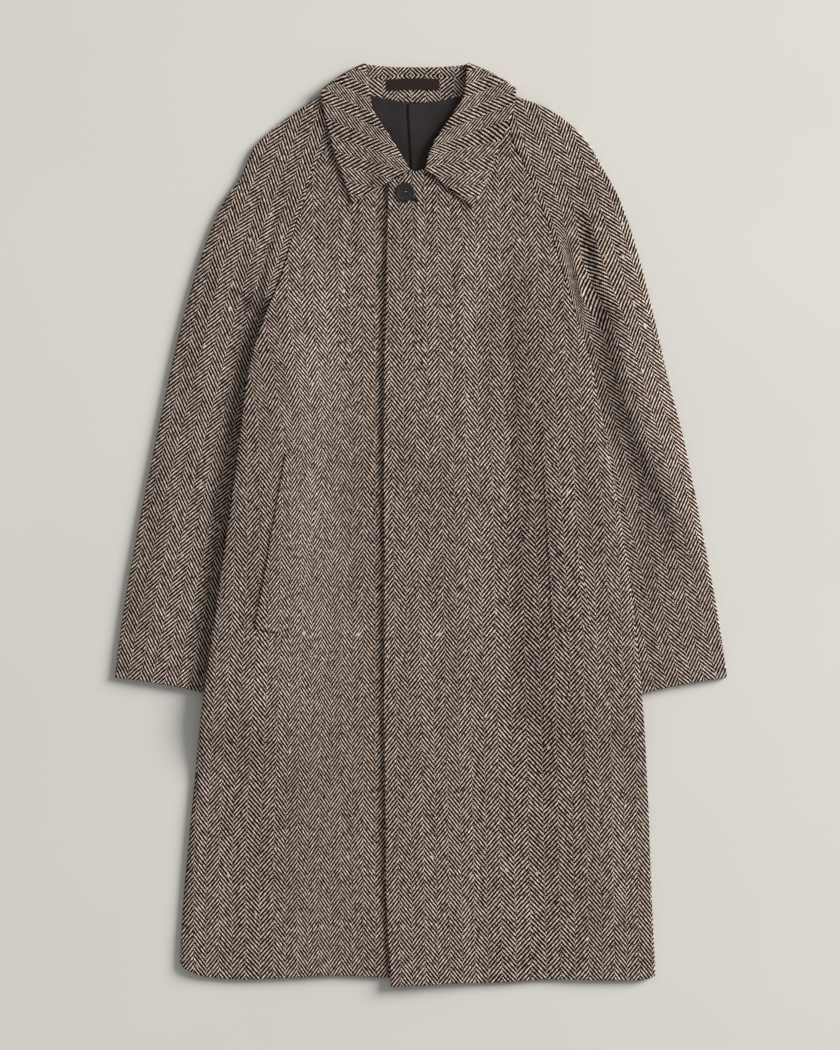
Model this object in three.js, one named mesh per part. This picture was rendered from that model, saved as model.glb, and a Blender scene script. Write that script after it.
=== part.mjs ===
// A raglan overcoat in heavy herringbone wool, lying flat on its back and seen from above.
// Millimetres. x runs to the right across the coat, y from the hem up to the collar, z up off the surface.
// The wearer's right half lies at negative x, the left half at positive x.
import * as THREE from 'three';

// Cloth and gaps
const CLOTH = 2.4;
const COLLAR_CLOTH = 3.5;
const STAND_CLOTH = 3.2;
const WELT_CLOTH = 3;
const FLY_EXTRA = 1.6;
const LINING_CLOTH = 0.9;
const LABEL_CLOTH = 0.6;
const SEAM = 0.3;
const LAYER_GAP = 0.4;
const LINING_GAP = 0.6;

// Whole coat
const COAT_LENGTH = 1108;
const CENTRE_X = -5;
const HEM_FADE = 300;

// How high the body rides over the sleeves that lie under its sides
const FRONT_GAP = 2.6;
const NECK_PRESS = 0.5;
const RIDE = { right: 14.6, left: 11.4 };
const RIDE_SLOPE = 126;
const RIDE_MARGIN = 3;
const RIDE_FROM_Y = 240;
const RIDE_FULL_Y = 335;
const RIDE_LAST_Y = 812;
const RIDE_END_Y = 915;

// Flattened sleeve tube
const SLEEVE_EDGE_RISE = 0.8;
const SLEEVE_CROWN = 1.6;
const SLEEVE_ROUND = 16;
const SIDE_ROUND = 12;
const SIDE_FADE = 60;
const CROWN_REACH = 40;
const CROWN_FROM = 50;
const CROWN_FULL = 80;
const ARMPIT_SHARE = 0.8;
const ARMPIT_REACH = 55;

// Collar
const FALL_LIFT = 4;
const FALL_BACK_HALF = 118;
const FALL_BACK_EDGE_Y = 1041;
const FALL_BACK_CURVE = 20;
const FALL_LIFT_MARGIN = 5;
const FALL_LIFT_FADE = 52;
const ROLL_RISE = 1.6;
const ROLL_REACH = 22;

// Hidden front edge of the right front, under the left one
const UNDER_EDGE_X = 33;
const LAP_MARGIN = 10;
const LAP_SLOPE = 44;
const LAP_EDGE_X = -44;
const LAP_NECK_Y = 985;
const LAP_NECK_FADE = 30;
const FLY_FADE = 40;

// Lower body sections from the hem up: side edge on each half, and the left front's own edge
const BODY = [
  { rightX: -289, rightY: 28, leftX: 281, leftY: 14, edgeX: -36, edgeY: 0 },
  { rightX: -285, rightY: 104, leftX: 277, leftY: 104, edgeX: -42, edgeY: 104 },
  { rightX: -274, rightY: 224, leftX: 272.5, leftY: 224, edgeX: -43.5, edgeY: 224 },
  { rightX: -261, rightY: 344, leftX: 265, leftY: 344, edgeX: -45, edgeY: 344 },
  { rightX: -239, rightY: 500, leftX: 248, leftY: 500, edgeX: -44.5, edgeY: 500 },
  { rightX: -222, rightY: 620, leftX: 228, leftY: 620, edgeX: -45.5, edgeY: 620 },
  { rightX: -206, rightY: 741, leftX: 206, leftY: 735, edgeX: -44.5, edgeY: 741 },
  { rightX: -184, rightY: 811, leftX: 188, leftY: 797, edgeX: -43, edgeY: 811 },
];

// Upper sections from the underarm to the neck on the wearer's right:
// outer edge of the sleeve, front raglan seam, front edge or neck edge, back raglan seam
const UPPER_RIGHT = [
  { outerX: -270, outerY: 856, seamX: -184, seamY: 811, edgeX: 33, edgeY: 811, backX: -184, backY: 811 },
  { outerX: -255.5, outerY: 898, seamX: -167, seamY: 853, edgeX: 33, edgeY: 853, backX: -165, backY: 856 },
  { outerX: -239, outerY: 936, seamX: -154, seamY: 902, edgeX: 33, edgeY: 902, backX: -150, backY: 905 },
  { outerX: -217, outerY: 970, seamX: -141, seamY: 941, edgeX: 33, edgeY: 945, backX: -135, backY: 947 },
  { outerX: -200, outerY: 1006, seamX: -129, seamY: 980, edgeX: 24, edgeY: 966, backX: -119, backY: 986 },
  { outerX: -174, outerY: 1031, seamX: -113, seamY: 1009, edgeX: -18, edgeY: 982, backX: -102, backY: 1020 },
  { outerX: -148, outerY: 1050, seamX: -98, seamY: 1032, edgeX: -38, edgeY: 1016, backX: -86, backY: 1048 },
  { outerX: -124, outerY: 1066, seamX: -86, seamY: 1049, edgeX: -60, edgeY: 1056, backX: -70, backY: 1070 },
];

// The same on the wearer's left
const UPPER_LEFT = [
  { outerX: 266, outerY: 858, seamX: 188, seamY: 797, edgeX: -43, edgeY: 811, backX: 188, backY: 797 },
  { outerX: 253, outerY: 903, seamX: 170, seamY: 853, edgeX: -42, edgeY: 856, backX: 170, backY: 850 },
  { outerX: 237, outerY: 947, seamX: 156, seamY: 903, edgeX: -41, edgeY: 905, backX: 154, backY: 902 },
  { outerX: 220, outerY: 978, seamX: 143, seamY: 938, edgeX: -40, edgeY: 945, backX: 138, backY: 945 },
  { outerX: 199, outerY: 1013, seamX: 129, seamY: 974, edgeX: -39, edgeY: 966, backX: 121, backY: 986 },
  { outerX: 172, outerY: 1040, seamX: 112, seamY: 1008, edgeX: 6, edgeY: 981, backX: 103, backY: 1020 },
  { outerX: 145, outerY: 1056, seamX: 104, seamY: 1036, edgeX: 24, edgeY: 1020, backX: 84, backY: 1048 },
  { outerX: 119, outerY: 1065, seamX: 88, seamY: 1054, edgeX: 48, edgeY: 1056, backX: 64, backY: 1070 },
];

// Lower sleeve sections from the underarm to the cuff: outer edge and the underarm edge hidden by the body
const ARM_RIGHT = [
  { outerX: -270, outerY: 856, innerX: -184, innerY: 811 },
  { outerX: -285, outerY: 803, innerX: -184, innerY: 778 },
  { outerX: -300, outerY: 740, innerX: -187, innerY: 722 },
  { outerX: -319, outerY: 650, innerX: -193, innerY: 638 },
  { outerX: -339.5, outerY: 548, innerX: -200, innerY: 530 },
  { outerX: -356.5, outerY: 452, innerX: -207, innerY: 430 },
  { outerX: -367.2, outerY: 371, innerX: -216, innerY: 340 },
];
const ARM_LEFT = [
  { outerX: 266, outerY: 858, innerX: 188, innerY: 797 },
  { outerX: 281, outerY: 796, innerX: 184, innerY: 768 },
  { outerX: 295, outerY: 735, innerX: 187, innerY: 715 },
  { outerX: 317, outerY: 648, innerX: 195, innerY: 630 },
  { outerX: 337, outerY: 548, innerX: 205, innerY: 525 },
  { outerX: 355, outerY: 452, innerX: 212, innerY: 425 },
  { outerX: 367.2, outerY: 371, innerX: 218, innerY: 338 },
];
const CUFF_BOW = 4;
// The neck end of each sleeve, under the collar
const NECK_END_RIGHT = { outerX: -88, outerY: 1083, innerX: -79, innerY: 1062 };
const NECK_END_LEFT = { outerX: 84, outerY: 1083, innerX: 71, innerY: 1062 };

// Hem line of each front: height over the lowest point of the coat
const HEM_RIGHT = [
  { x: -289, y: 28 }, { x: -283, y: 21 }, { x: -277, y: 17.4 }, { x: -265, y: 12.6 }, { x: -241, y: 9 },
  { x: -217, y: 7.8 }, { x: -145, y: 11.4 }, { x: -97, y: 13.8 }, { x: -39, y: 11.4 }, { x: 33, y: 14 },
];
const HEM_LEFT = [
  { x: -36, y: 0 }, { x: 0, y: 1.8 }, { x: 35, y: 4.2 }, { x: 95, y: 5.4 }, { x: 155, y: 9 },
  { x: 215, y: 7.8 }, { x: 262, y: 8 }, { x: 275, y: 10 }, { x: 281, y: 14 },
];
const HEM_BACK = [
  { x: -289, y: 32 }, { x: -262, y: 20 }, { x: 0, y: 17 }, { x: 262, y: 18 }, { x: 281, y: 22 },
];
const NECK_DIP = 11;

// Largest folds of the front layer: a line in the plan, its half width and its height (troughs are negative)
const BODY_FOLDS = [
  { fromX: 112, fromY: 1010, toX: 108, toY: 330, width: 20, height: -1.5 },
  { fromX: 176, fromY: 720, toX: 214, toY: 420, width: 13, height: -1.7 },
  { fromX: 60, fromY: 700, toX: 72, toY: 120, width: 34, height: 1.6 },
  { fromX: 150, fromY: 780, toX: 165, toY: 250, width: 20, height: 1.5 },
  { fromX: 205, fromY: 300, toX: 235, toY: 20, width: 26, height: 1.8 },
  { fromX: 140, fromY: 330, toX: 150, toY: 10, width: 24, height: -1.3 },
  { fromX: -150, fromY: 850, toX: -158, toY: 560, width: 34, height: 2.2 },
  { fromX: -98, fromY: 960, toX: -92, toY: 420, width: 22, height: -1.2 },
  { fromX: -120, fromY: 400, toX: -140, toY: 20, width: 34, height: 1.9 },
  { fromX: -215, fromY: 330, toX: -232, toY: 20, width: 24, height: -1.4 },
  { fromX: -262, fromY: 300, toX: -270, toY: 60, width: 12, height: 1.6 },
];
const SLEEVE_FOLDS = [
  { fromX: -160, fromY: 950, toX: -194, toY: 838, width: 9, height: -1.8 },
  { fromX: -216, fromY: 930, toX: -262, toY: 700, width: 22, height: 1.6 },
  { fromX: -290, fromY: 700, toX: -322, toY: 440, width: 14, height: 1.2 },
  { fromX: 190, fromY: 940, toX: 236, toY: 736, width: 12, height: -1.8 },
  { fromX: 236, fromY: 736, toX: 296, toY: 600, width: 12, height: -1.7 },
  { fromX: 296, fromY: 600, toX: 328, toY: 450, width: 13, height: -1.4 },
  { fromX: 232, fromY: 900, toX: 300, toY: 660, width: 14, height: 1.6 },
];
const FOLD_END = 0.35;

// Collar leaves, from the fold over the shoulder to the front edge: roll line and outer edge
const LEAF_RIGHT = [
  { rollX: -66, rollY: 1106.2, edgeX: -119.6, edgeY: 1073 },
  { rollX: -61.5, rollY: 1070, edgeX: -118.5, edgeY: 1056 },
  { rollX: -57, rollY: 1050, edgeX: -112.5, edgeY: 1029 },
  { rollX: -46, rollY: 1032, edgeX: -106, edgeY: 1004 },
  { rollX: -34, rollY: 1014, edgeX: -98, edgeY: 981 },
  { rollX: -23, rollY: 996, edgeX: -90, edgeY: 960 },
  { rollX: -13, rollY: 978.5, edgeX: -82.8, edgeY: 939 },
];
const LEAF_LEFT = [
  { rollX: 55.2, rollY: 1106.2, edgeX: 114.2, edgeY: 1075 },
  { rollX: 51, rollY: 1070, edgeX: 112, edgeY: 1057 },
  { rollX: 42, rollY: 1052, edgeX: 105.6, edgeY: 1035 },
  { rollX: 29, rollY: 1033, edgeX: 96, edgeY: 1013 },
  { rollX: 17, rollY: 1015, edgeX: 87, edgeY: 988 },
  { rollX: 9, rollY: 998, edgeX: 77, edgeY: 962 },
  { rollX: 5, rollY: 979, edgeX: 62.4, edgeY: 933 },
];
// The part of the collar that lies under the neck, from the fold to the centre back
const UNDER_RIGHT = [
  { rollX: -66, rollY: 1106.2, edgeX: -119.6, edgeY: 1073 },
  { rollX: -52, rollY: 1104.6, edgeX: -96, edgeY: 1055 },
  { rollX: -30, rollY: 1103, edgeX: -55, edgeY: 1044 },
  { rollX: CENTRE_X, rollY: 1102.4, edgeX: CENTRE_X, edgeY: FALL_BACK_EDGE_Y },
];
const UNDER_LEFT = [
  { rollX: 55.2, rollY: 1106.2, edgeX: 114.2, edgeY: 1075 },
  { rollX: 42, rollY: 1104.6, edgeX: 88, edgeY: 1055 },
  { rollX: 20, rollY: 1103, edgeX: 45, edgeY: 1044 },
  { rollX: CENTRE_X, rollY: 1102.4, edgeX: CENTRE_X, edgeY: FALL_BACK_EDGE_Y },
];
const SHOULDER_OUTWARD = { right: new THREE.Vector2(-0.53, 0.85), left: new THREE.Vector2(0.47, 0.88) };
const SHOULDER_BULGE = 3;
const BULGE_ROWS = 1.6;
const LEAF_GAP = 0.5;
const LEAF_SETTLE = 2;
const COLLAR_FOLD_RADIUS = (FALL_LIFT + 2 * CLOTH + FRONT_GAP - NECK_PRESS + LEAF_GAP) / 2;

const STAND = { left: -73, right: 62, topY: 1102.4, topDrop: 5, endRise: 1.6 };
const LINING = {
  left: -80, right: 70, bottom: 925, topInset: 12, pleatX: -14, pleatWidth: 5, pleatHeight: 0.8,
};
const LABEL = { left: -41.4, right: 22.3, bottom: 1074.8, top: 1088.4 };

// Pocket welts: outer and inner edge at the top, the middle and the bottom
const WELT_RIGHT = [
  { outerX: -162, outerY: 640, innerX: -120, innerY: 629 },
  { outerX: -180, outerY: 537, innerX: -132, innerY: 534 },
  { outerX: -199, outerY: 431, innerX: -148, innerY: 432 },
];
const WELT_LEFT = [
  { outerX: 174, outerY: 628, innerX: 146, innerY: 624 },
  { outerX: 186, outerY: 538, innerX: 151, innerY: 538 },
  { outerX: 204, outerY: 436, innerX: 156.5, innerY: 431 },
];
const WELT_BOW = 6;
const WELT_GAP = 0.6;

const BUTTON = {
  x: -18.8, y: 952.2, radius: 11.2, thickness: 3.4, bevel: 0.7, holeOffset: 2.1, holeRadius: 0.9,
};

// Grid of each wall. The splits are rows of the grid to each row of a table.
const LOWER_SPLIT = 3;
const UPPER_SPLIT = 2;
const ARM_SPLIT = 2;
const LEAF_SPLIT = 2;
const UNDER_SPLIT = 2;
const FOLD_STEPS = 3;
const FRONT_COLUMNS = 18;
const BACK_COLUMNS = 16;
const SLEEVE_COLUMNS = 8;
const COLLAR_ROWS = 6;
const STAND_COLUMNS = 14;
const STAND_ROWS = 3;
const LABEL_COLUMNS = 8;
const LINING_COLUMNS = 14;
const LINING_ROWS = 5;
const WELT_COLUMNS = 4;
const WELT_ROWS = 10;
const CROWDING = 0.6;

const WOOL = new THREE.MeshStandardMaterial({ color: 0x7e7068, roughness: 0.95, metalness: 0 });
const COLLAR_WOOL = new THREE.MeshStandardMaterial({ color: 0x75675f, roughness: 0.95, metalness: 0 });
const SATIN = new THREE.MeshStandardMaterial({ color: 0x322d2d, roughness: 0.5, metalness: 0 });
const LABEL_WEAVE = new THREE.MeshStandardMaterial({ color: 0x3a2f2a, roughness: 0.8, metalness: 0 });
const HORN = new THREE.MeshStandardMaterial({ color: 0x2f2e2b, roughness: 0.45, metalness: 0 });

const lerp = THREE.MathUtils.lerp;
const ramp = (from, to, value) => THREE.MathUtils.smoothstep(value, from, to);

// Lines through two named columns of a table, by row number: one smooth, one straight from row to row
const columnPoints = (rows, xName, yName) => rows.map((row) => new THREE.Vector2(row[xName], row[yName]));
function line(rows, xName, yName) {
  const spline = new THREE.SplineCurve(columnPoints(rows, xName, yName));
  return (row) => spline.getPoint(THREE.MathUtils.clamp(row / (rows.length - 1), 0, 1));
}
function straightLine(rows, xName, yName) {
  const points = columnPoints(rows, xName, yName);
  return (row) => {
    const i = Math.min(Math.floor(row), points.length - 2);
    return points[i].clone().lerp(points[i + 1], row - i);
  };
}

// Smooth curve y over x through a table of x and y
function profile(rows) {
  const slope = (i) => {
    const before = rows[Math.max(i - 1, 0)];
    const after = rows[Math.min(i + 1, rows.length - 1)];
    return (after.y - before.y) / (after.x - before.x);
  };
  return (x) => {
    const at = THREE.MathUtils.clamp(x, rows[0].x, rows[rows.length - 1].x);
    const i = Math.max(1, rows.findIndex((row) => row.x >= at)) - 1;
    const span = rows[i + 1].x - rows[i].x;
    const t = (at - rows[i].x) / span;
    const t2 = t * t;
    const t3 = t2 * t;
    return (2 * t3 - 3 * t2 + 1) * rows[i].y + (t3 - 2 * t2 + t) * span * slope(i)
      + (3 * t2 - 2 * t3) * rows[i + 1].y + (t3 - t2) * span * slope(i + 1);
  };
}

// A fold is highest half way along its line and dies away to both sides
function foldHeight(fold, x, y) {
  const dx = fold.toX - fold.fromX;
  const dy = fold.toY - fold.fromY;
  const along = ((x - fold.fromX) * dx + (y - fold.fromY) * dy) / (dx * dx + dy * dy);
  const t = THREE.MathUtils.clamp(along, 0, 1);
  const away = Math.hypot(x - fold.fromX - t * dx, y - fold.fromY - t * dy) / fold.width;
  return fold.height * Math.exp(-away * away) * lerp(FOLD_END, 1, Math.sin(Math.PI * t));
}
const foldSum = (table) => (x, y) => table.reduce((sum, fold) => sum + foldHeight(fold, x, y), 0);
const bodyFolds = foldSum(BODY_FOLDS);
const sleeveFolds = foldSum(SLEEVE_FOLDS);

// The neck of the coat lies on the part of the collar that is folded under it
function neckLift(x, y) {
  const fromCentre = Math.abs(x - CENTRE_X);
  const sideways = Math.min(fromCentre / FALL_BACK_HALF, 1);
  const edgeY = FALL_BACK_EDGE_Y + FALL_BACK_CURVE * sideways * sideways;
  const away = Math.hypot(Math.max(fromCentre - FALL_BACK_HALF, 0), Math.max(edgeY - y, 0));
  return FALL_LIFT * (1 - ramp(FALL_LIFT_MARGIN, FALL_LIFT_FADE, away));
}

// Half width of the coat at the sleeve edge hidden under the body, at height y
function hiddenEdge(rows) {
  return profile(rows.map((row) => ({ x: row.innerY, y: Math.abs(row.innerX) })).reverse());
}
const HIDDEN = { right: hiddenEdge(ARM_RIGHT), left: hiddenEdge(ARM_LEFT) };

// How far the body is lifted by the sleeve that lies under its side
function bodyRide(x, y) {
  const side = x < 0 ? 'right' : 'left';
  const inner = HIDDEN[side](y);
  const across = ramp(inner - RIDE_SLOPE, inner - RIDE_MARGIN, Math.abs(x));
  const low = ramp(RIDE_FROM_Y, RIDE_FULL_Y, y);
  const high = 1 - ramp(RIDE_LAST_Y, RIDE_END_Y, y);
  return RIDE[side] * across * low * high;
}

// Quarter-round profile: 0 at an edge, 1 once a radius away from it
function rounded(distance, radius) {
  const t = 1 - THREE.MathUtils.clamp(distance / radius, 0, 1);
  return Math.sqrt(1 - t * t);
}

// Heights of the layers: underside of the back, gap to the front above it, and the fronts where they lap
const backLow = (x, y) => neckLift(x, y) + bodyRide(x, y);
const frontGap = (x, y) => FRONT_GAP - NECK_PRESS * neckLift(x, y) / FALL_LIFT;
const frontLow = (x, y) => backLow(x, y) + CLOTH + frontGap(x, y) + bodyFolds(x, y);
const lapLift = (x) => (CLOTH + LAYER_GAP) * (1 - ramp(UNDER_EDGE_X + LAP_MARGIN, UNDER_EDGE_X + LAP_SLOPE, x));
const flyExtra = (x) => FLY_EXTRA * (1 - ramp(UNDER_EDGE_X - FLY_FADE, UNDER_EDGE_X, x));
const leftTop = (x, y) => frontLow(x, y) + lapLift(x) + CLOTH + flyExtra(x);

// Underside of the collar leaves, which lie over both fronts
function leafLow(x, y) {
  const belowNeck = 1 - ramp(LAP_NECK_Y, LAP_NECK_Y + LAP_NECK_FADE, y);
  const lap = x < 0 ? ramp(LAP_EDGE_X - LAP_SLOPE / 2, LAP_EDGE_X, x) * belowNeck : 1;
  return frontLow(x, y) + CLOTH + LEAF_GAP + (lapLift(x) + flyExtra(x)) * lap;
}

// Buffer geometry with its faces out, whichever way its grid ran
function solid(points, faces) {
  const volume = (sum, _, f) => {
    if (f % 3) return sum;
    const cross = new THREE.Vector3().crossVectors(points[faces[f + 1]], points[faces[f + 2]]);
    return sum + points[faces[f]].dot(cross);
  };
  const inward = faces.reduce(volume, 0) < 0;
  const geometry = new THREE.BufferGeometry().setFromPoints(points);
  geometry.setIndex(inward ? faces.toReversed() : faces);
  geometry.computeVertexNormals();
  return geometry;
}

// A closed wall of cloth over a grid. place(column, row) gives the low and the high point of the wall there.
function wall(columns, rows, place) {
  const low = [];
  const high = [];
  for (let j = 0; j <= rows; j += 1) {
    for (let i = 0; i <= columns; i += 1) {
      const [under, over] = place(i, j);
      low.push(under);
      high.push(over);
    }
  }
  const count = low.length;
  const at = (i, j) => j * (columns + 1) + i;
  const faces = [];
  const quad = (a, b, c, d) => faces.push(a, b, c, a, c, d);
  for (let j = 0; j < rows; j += 1) {
    for (let i = 0; i < columns; i += 1) {
      quad(count + at(i, j), count + at(i + 1, j), count + at(i + 1, j + 1), count + at(i, j + 1));
      quad(at(i, j), at(i, j + 1), at(i + 1, j + 1), at(i + 1, j));
    }
  }
  const rim = (a, b) => quad(a, b, count + b, count + a);
  for (let i = 0; i < columns; i += 1) {
    rim(at(i, 0), at(i + 1, 0));
    rim(at(i + 1, rows), at(i, rows));
  }
  for (let j = 0; j < rows; j += 1) {
    rim(at(columns, j), at(columns, j + 1));
    rim(at(0, j + 1), at(0, j));
  }
  return solid([...low, ...high], faces);
}

// The low and high points of a wall that lies at a plan point
const stack = (point, low, thickness) => [
  new THREE.Vector3(point.x, point.y, low),
  new THREE.Vector3(point.x, point.y, low + thickness),
];

// Steps that crowd a little towards both edges, so that rounded edges keep their form
const crowd = (t) => lerp(t, (1 - Math.cos(Math.PI * t)) / 2, CROWDING);

// A plan point between two edge points, kept half a seam away from each
function between(start, end, t) {
  const inset = SEAM / 2 / start.distanceTo(end);
  return start.clone().lerp(end, lerp(inset, 1 - inset, t));
}

const coat = new THREE.Group();
function add(name, geometry, material) {
  const mesh = new THREE.Mesh(geometry, material);
  mesh.name = name;
  coat.add(mesh);
}

// Joins a line along the lower body with one along the upper body, by grid row
const LOWER_ROWS = (BODY.length - 1) * LOWER_SPLIT;
const UPPER_ROWS = (UPPER_RIGHT.length - 1) * UPPER_SPLIT;
const bodyLine = (lower, upper) => (row) => (
  row <= LOWER_ROWS ? lower(row / LOWER_SPLIT) : upper((row - LOWER_ROWS) / UPPER_SPLIT)
);
const sideRight = line(BODY, 'rightX', 'rightY');
const sideLeft = line(BODY, 'leftX', 'leftY');
const lapEdge = line(BODY, 'edgeX', 'edgeY');
const hiddenFrontEdge = (row) => new THREE.Vector2(UNDER_EDGE_X, lapEdge(row).y);

// A body panel from one edge line to another, with its lowest rows drawn onto the hem
function bodyPanel(columns, start, end, hem, place) {
  const hemStart = start(0);
  const hemEnd = end(0);
  const straightHem = (x) => lerp(hemStart.y, hemEnd.y, (x - hemStart.x) / (hemEnd.x - hemStart.x));
  return wall(columns, LOWER_ROWS + UPPER_ROWS, (i, j) => {
    const point = between(start(j), end(j), crowd(i / columns));
    const fade = 1 - THREE.MathUtils.clamp(point.y / HEM_FADE, 0, 1);
    point.y += (hem(point.x) - straightHem(point.x)) * fade;
    return place(point, start(j), j);
  });
}

// A front comes down to the back along its side seam, up to the underarm
function sideDrop(point, side) {
  const below = 1 - ramp(RIDE_LAST_Y - SIDE_FADE, RIDE_LAST_Y, point.y);
  const gap = frontGap(point.x, point.y) + bodyFolds(point.x, point.y) - SEAM;
  return gap * (1 - rounded(Math.abs(point.x - side.x), SIDE_ROUND)) * below;
}

function buildFronts() {
  const seamRight = bodyLine(sideRight, line(UPPER_RIGHT, 'seamX', 'seamY'));
  const edgeRight = bodyLine(hiddenFrontEdge, straightLine(UPPER_RIGHT, 'edgeX', 'edgeY'));
  add('front_right', bodyPanel(FRONT_COLUMNS, seamRight, edgeRight, profile(HEM_RIGHT), (point, side) => (
    stack(point, frontLow(point.x, point.y) - sideDrop(point, side), CLOTH)
  )), WOOL);

  const seamLeft = bodyLine(sideLeft, line(UPPER_LEFT, 'seamX', 'seamY'));
  const edgeLeft = bodyLine(lapEdge, straightLine(UPPER_LEFT, 'edgeX', 'edgeY'));
  add('front_left', bodyPanel(FRONT_COLUMNS, seamLeft, edgeLeft, profile(HEM_LEFT), (point, side) => {
    const low = frontLow(point.x, point.y) + lapLift(point.x) - sideDrop(point, side);
    return stack(point, low, CLOTH + flyExtra(point.x));
  }), WOOL);
}

// The neck seam curves down between the two raglan seams of the back
const backRight = line(UPPER_RIGHT, 'backX', 'backY');
const backLeft = line(UPPER_LEFT, 'backX', 'backY');
const NECK_START = UPPER_RIGHT.at(-1).backX;
const NECK_END = UPPER_LEFT.at(-1).backX;
function neckDip(x) {
  const t = THREE.MathUtils.clamp((x - NECK_START) / (NECK_END - NECK_START), 0, 1);
  return NECK_DIP * Math.sin(Math.PI * t);
}
const neckSeamY = (x) => UPPER_RIGHT.at(-1).backY - neckDip(x);

function buildBack() {
  const start = bodyLine(sideRight, backRight);
  const end = bodyLine(sideLeft, backLeft);
  add('back', bodyPanel(BACK_COLUMNS, start, end, profile(HEM_BACK), (point, side, j) => {
    const toNeck = ramp(LOWER_ROWS + UPPER_ROWS / 2, LOWER_ROWS + UPPER_ROWS, j);
    point.y -= neckDip(point.x) * toNeck;
    return stack(point, backLow(point.x, point.y), CLOTH);
  }), WOOL);
}

// A sleeve panel from the neck down to the cuff. Its inner edge is the raglan seam, then the underarm seam.
function sleevePanel(upper, arm, neck, seamNames, place) {
  const rows = 1 + UPPER_ROWS + (arm.length - 1) * ARM_SPLIT;
  const upperOuter = line(upper, 'outerX', 'outerY');
  const upperInner = line(upper, ...seamNames);
  const armOuter = line(arm, 'outerX', 'outerY');
  const armInner = line(arm, 'innerX', 'innerY');
  const neckEnd = [new THREE.Vector2(neck.outerX, neck.outerY), new THREE.Vector2(neck.innerX, neck.innerY)];
  const edges = (row) => {
    if (row === 0) return neckEnd;
    const up = (UPPER_ROWS + 1 - row) / UPPER_SPLIT;
    if (up >= 0) return [upperOuter(up), upperInner(up)];
    const down = (row - 1 - UPPER_ROWS) / ARM_SPLIT;
    return [armOuter(down), armInner(down)];
  };
  return wall(SLEEVE_COLUMNS, rows, (i, j) => {
    const [outer, inner] = edges(j);
    const point = between(outer, inner, crowd(i / SLEEVE_COLUMNS));
    const cuff = ramp(rows - 2, rows, j) * CUFF_BOW * Math.sin(Math.PI * i / SLEEVE_COLUMNS);
    const fromOuter = point.distanceTo(outer);
    const fromInner = point.distanceTo(inner);
    const hidden = ramp(UPPER_ROWS, UPPER_ROWS + 2, j);
    point.y += cuff;
    return place({ point, inner, fromOuter, fromInner, hidden });
  });
}

// How much a sleeve panel has come to its folded edge: along the outer edge, and under the body at the inner one
function sleeveEdge({ fromOuter, fromInner, hidden }) {
  const outer = 1 - rounded(fromOuter, SLEEVE_ROUND);
  const inner = (1 - rounded(fromInner, SLEEVE_ROUND)) * hidden;
  return Math.max(outer, inner);
}

// A sleeve's front rises to the body's front along the raglan seam
function sleeveFrontLow(spot) {
  const { point, inner, fromInner, fromOuter, hidden } = spot;
  const edge = sleeveEdge(spot);
  const nearSeam = (1 - ramp(0, ARMPIT_REACH, fromInner)) * (1 - hidden);
  const rise = bodyRide(inner.x, inner.y) * ARMPIT_SHARE * nearSeam;
  const crown = SLEEVE_CROWN * ramp(0, CROWN_REACH, fromOuter) * ramp(CROWN_FROM, CROWN_FULL, fromInner);
  const gap = frontGap(point.x, point.y) + crown + sleeveFolds(point.x, point.y);
  const closed = SLEEVE_EDGE_RISE + SEAM;
  return neckLift(point.x, point.y) + CLOTH + lerp(gap + rise, closed, edge);
}

function buildSleeves() {
  const sides = [
    { side: 'right', upper: UPPER_RIGHT, arm: ARM_RIGHT, neck: NECK_END_RIGHT },
    { side: 'left', upper: UPPER_LEFT, arm: ARM_LEFT, neck: NECK_END_LEFT },
  ];
  for (const { side, upper, arm, neck } of sides) {
    add(`sleeve_${side}_back`, sleevePanel(upper, arm, neck, ['backX', 'backY'], (spot) => (
      stack(spot.point, neckLift(spot.point.x, spot.point.y) + SLEEVE_EDGE_RISE * sleeveEdge(spot), CLOTH)
    )), WOOL);
    add(`sleeve_${side}_front`, sleevePanel(upper, arm, neck, ['seamX', 'seamY'], (spot) => (
      stack(spot.point, sleeveFrontLow(spot), CLOTH)
    )), WOOL);
  }
}

// Middle of the collar cloth at a table row, from the fold over the shoulder, and at t from roll to outer edge.
// turn is the angle round the shoulder fold: +1 once on top, -1 once underneath.
function collarMiddle(side, turn, row, t) {
  const table = turn >= 0 ? side.leaf : side.under;
  const first = table.roll(0).lerp(table.edge(0), t);
  const second = table.roll(1).lerp(table.edge(1), t);
  const angle = turn * Math.PI / 2;
  const nose = COLLAR_FOLD_RADIUS * (1 - Math.cos(angle)) / first.distanceTo(second);
  const at = Math.abs(turn) < 1 ? nose : Math.max(row, nose);
  const point = table.roll(at).lerp(table.edge(at), t);
  const bulge = SHOULDER_BULGE * Math.sin(Math.PI * t) * (1 - ramp(0, BULGE_ROWS, at));
  point.addScaledVector(side.outward, bulge);
  const under = COLLAR_CLOTH / 2;
  const over = leafLow(point.x, point.y) + under;
  const roll = ROLL_RISE * (1 - ramp(0, ROLL_REACH, point.distanceTo(table.roll(at))));
  const middle = under + COLLAR_FOLD_RADIUS + COLLAR_FOLD_RADIUS * Math.sin(angle);
  const onTop = turn === 1 ? lerp(middle, over + roll, ramp(0, 1, (at - nose) * LEAF_SETTLE)) : middle;
  return new THREE.Vector3(point.x, point.y, turn === -1 ? under : onTop);
}

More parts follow.
